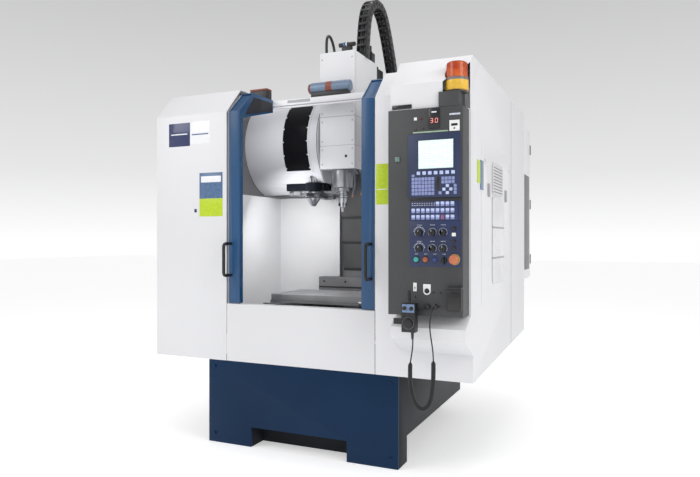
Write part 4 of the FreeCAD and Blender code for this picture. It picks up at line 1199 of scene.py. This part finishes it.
# ---- Column, rails and feed motors ----
# The column is a boxed iron casting painted pale grey. Ground rails are screwed to it and to the bed,
# and the feed motors are black with a flange and a round plug.
softened("column", "column_casting", 0.005, cast_light)
softened("fixed_rails", "guide_rails", 0.0012, ground_steel)
rail_screws = []
for x in (-0.250, 0.250):
    for k in range(9):
        rail_screws.append(upright("rail_screw", x, -0.640 + 0.09 * k,
                                   [(0, 0.6306), (0.0052, 0.6306), (0.0056, 0.6298), (0, 0.6298)],
                                   knob_black, turns=16))
merged("rail_screws", rail_screws)
softened("fixed_motors", "feed_motors", 0.004, motor_black)
feed_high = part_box("fixed_motors")[1]
upright("feed_motor_plug", 0.030, 0.260, [(0, feed_high[2] - 0.001), (0.018, feed_high[2] - 0.001),
                                          (0.018, feed_high[2] + 0.018),
                                         (0.014, feed_high[2] + 0.022), (0, feed_high[2] + 0.022)],
                                         motor_black, turns=28)
upright("feed_motor_cap", -0.018, 0.260, [(0, feed_high[2] - 0.001), (0.026, feed_high[2] - 0.001),
                                          (0.026, feed_high[2] + 0.006),
                                         (0.022, feed_high[2] + 0.009), (0, feed_high[2] + 0.009)],
                                         motor_black, turns=36)

# ---- Way covers ----
# Plates of bare steel in lifts cover the column front, with wiper lips on their lower edges, above the
# fixed block of folded steel that closes the end of the bed.
way_steel = rubbed("way_steel", (0.10, 0.10, 0.102), 0.40, 4, 0.20, 260, 0.12, metallic=0.1)
block_steel = rubbed("block_steel", (0.18, 0.18, 0.19), 0.40, 4, 0.20, 260, 0.12, metallic=0.1)
softened("way_cover", "way_block", 0.002, block_steel)
dark_iron = rubbed("wiper_dark", (0.035, 0.036, 0.038), 0.5, 9, 0.2, 300, 0.15)
for node, body in (("z_cover_1", "head"), ("z_cover_2", "z_cover_2"), ("z_cover_3", "z_cover_3")):
    plate = softened(node, node + "_plate", 0.0008, way_steel, body)
    low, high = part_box(node)
    folded_block(node + "_wiper", (low[0], low[1] - 0.0020, low[2] + 0.001),
                 (high[0], low[1] + 0.0005, low[2] + 0.016), 0.0008,
                 dark_iron, body)
block_low, block_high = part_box("way_cover")
folded_block("way_block_band", (block_low[0] + 0.002, block_low[1] - 0.0012, 0.826),
             (block_high[0] - 0.002, block_low[1] + 0.001, 0.836),
             0.0006, dark_iron)
block_bolts = []
for x in (-0.235, -0.080, 0.080, 0.235):
    block_bolts.append(folded_block("bolt", (x - 0.006, block_low[1] - 0.0035, 0.862),
                                    (x + 0.006, block_low[1] + 0.0005, 0.874), 0.0020,
                                    knob_black))
merged("way_block_bolts", block_bolts)

# ---- Fittings on the door beam ----
# A white round bar and a grey cable slot run along the beam. On top sit the door drive, a blue-grey
# cylinder with red-brown end and band on a black bracket, and a dark switch box with a red lid.
beam_low, beam_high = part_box("door_beam")
lying("beam_round_bar", -0.640, beam_low[1] + 0.012, beam_low[2] - 0.0085,
      [(0, 0), (0.0060, 0), (0.0066, 0.001), (0.0066, 1.279), (0.0060, 1.280), (0, 1.280)], cover_white,
      turns=20)
folded_block("beam_slot", (-0.273, beam_low[1] - 0.0012, beam_low[2] + 0.012),
             (-0.120, beam_low[1] + 0.001, beam_low[2] + 0.029), 0.0005,
             seam_grey)
drive_slate = rubbed("drive_slate", (0.16, 0.22, 0.31), 0.35, 14, 0.15, 340, 0.12, metallic=0.3)
drive_rust = rubbed("drive_rust_red", (0.23, 0.055, 0.035), 0.4, 18, 0.2, 340, 0.12)
lying("door_drive", -0.122, -0.391, 2.045,
      [(0, 0), (0.030, 0), (0.0345, 0.004), (0.0345, 0.248), (0.030, 0.253), (0, 0.253)], drive_slate)
lying("door_drive_cap", -0.138, -0.391, 2.045, [(0, 0), (0.026, 0), (0.030, 0.004), (0.030, 0.0165),
                                                (0, 0.0165)], drive_rust)
lying("door_drive_band", -0.020, -0.391, 2.045, [(0.0346, 0), (0.0356, 0.001), (0.0356, 0.039),
                                                 (0.0346, 0.040)], drive_rust)
folded_block("door_drive_bracket", (-0.115, -0.421, beam_high[2] - 0.0005), (0.120, -0.362, 2.016), 0.002,
             knob_black)
folded_block("beam_switch_box", (-0.542, -0.420, beam_high[2] - 0.0005), (-0.419, -0.362, 2.062), 0.004,
             knob_black)
folded_block("beam_switch_lid", (-0.542, -0.420, 2.0622), (-0.419, -0.362, 2.075), 0.003, drive_rust)

# ---- Electrical cabinet ----
# A pale folded cabinet hung on the back, with a sealed hinged door, louvres with filters, three lift-off
# hinges, a black swing handle, and rows of drive units on the plate inside.
softened("electrical_cabinet", "cabinet_case", 0.003, cover_white)
drive_case = rubbed("drive_case", (0.10, 0.105, 0.11), 0.5, 10, 0.15, 500, 0.2)
softened("drive_rack", "drive_units", 0.002, drive_case)
cabinet_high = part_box("electrical_cabinet")[1]
# Dark grey for the painted shade on the lower part of the cabinet's right side.
side_shade_grey = rubbed("side_shade_grey", (0.17, 0.17, 0.18), 0.5, 4, 0.15, 300, 0.2)
door_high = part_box("cabinet_door")[1]
softened("cabinet_door", "cabinet_door_sheet", 0.003, cover_white, "cabinet_door")
softened("cabinet_handle", "swing_handle", 0.002, grip_black, "cabinet_handle")
for label, z in (("low", 0.960), ("high", 1.700)):
    folded_block("louvre_plate_" + label, (0.330, door_high[1] - 0.001, z),
                 (0.650, door_high[1] + 0.003, z + 0.150), 0.002,
                 seam_grey, "cabinet_door")
    # The louvre's slats are dark strips: painted shade between the blades.
    slats = []
    for k in range(9):
        slats.append(folded_block("slat", (0.342, door_high[1] + 0.0025, z + 0.010 + 0.015 * k),
                                  (0.638, door_high[1] + 0.0055, z + 0.016 + 0.015 * k),
                                  0.001, painted_slit_shade, "cabinet_door"))
    merged("louvre_slats_" + label, slats)
cabinet_hinges = []
for z in (1.000, 1.400, 1.800):
    cabinet_hinges.append(upright("hinge", door_high[0] - 0.001, door_high[1] + 0.0005,
                                  [(0, z - 0.035), (0.006, z - 0.035), (0.0065, z - 0.033),
                                   (0.0065, z + 0.033), (0.006, z + 0.035), (0, z + 0.035)],
                                  grip_black, "machine", 20))
merged("cabinet_hinges", cabinet_hinges)
# A dark grey plate over the lower right side of the cabinet: painted shade where that side is in shadow.
folded_block("cabinet_side_shade_plate", (cabinet_high[0] - 0.001, 0.770, 0.930),
             (cabinet_high[0] + 0.0012, 0.990, 1.600), 0.0008,
             side_shade_grey)
labels = []
for k in range(5):
    x = 0.110 + 0.155 * k
    labels.append(folded_block("label", (x + 0.020, 0.9395, 1.700), (x + 0.105, 0.9408, 1.760), 0.0004,
                               plate_white))
    for j in range(6):
        labels.append(folded_block("terminal", (x + 0.022 + 0.014 * j, 0.9395, 1.430),
                                   (x + 0.032 + 0.014 * j, 0.9450, 1.455), 0.0008,
                                   plate_white))
merged("drive_labels_and_terminals", labels)
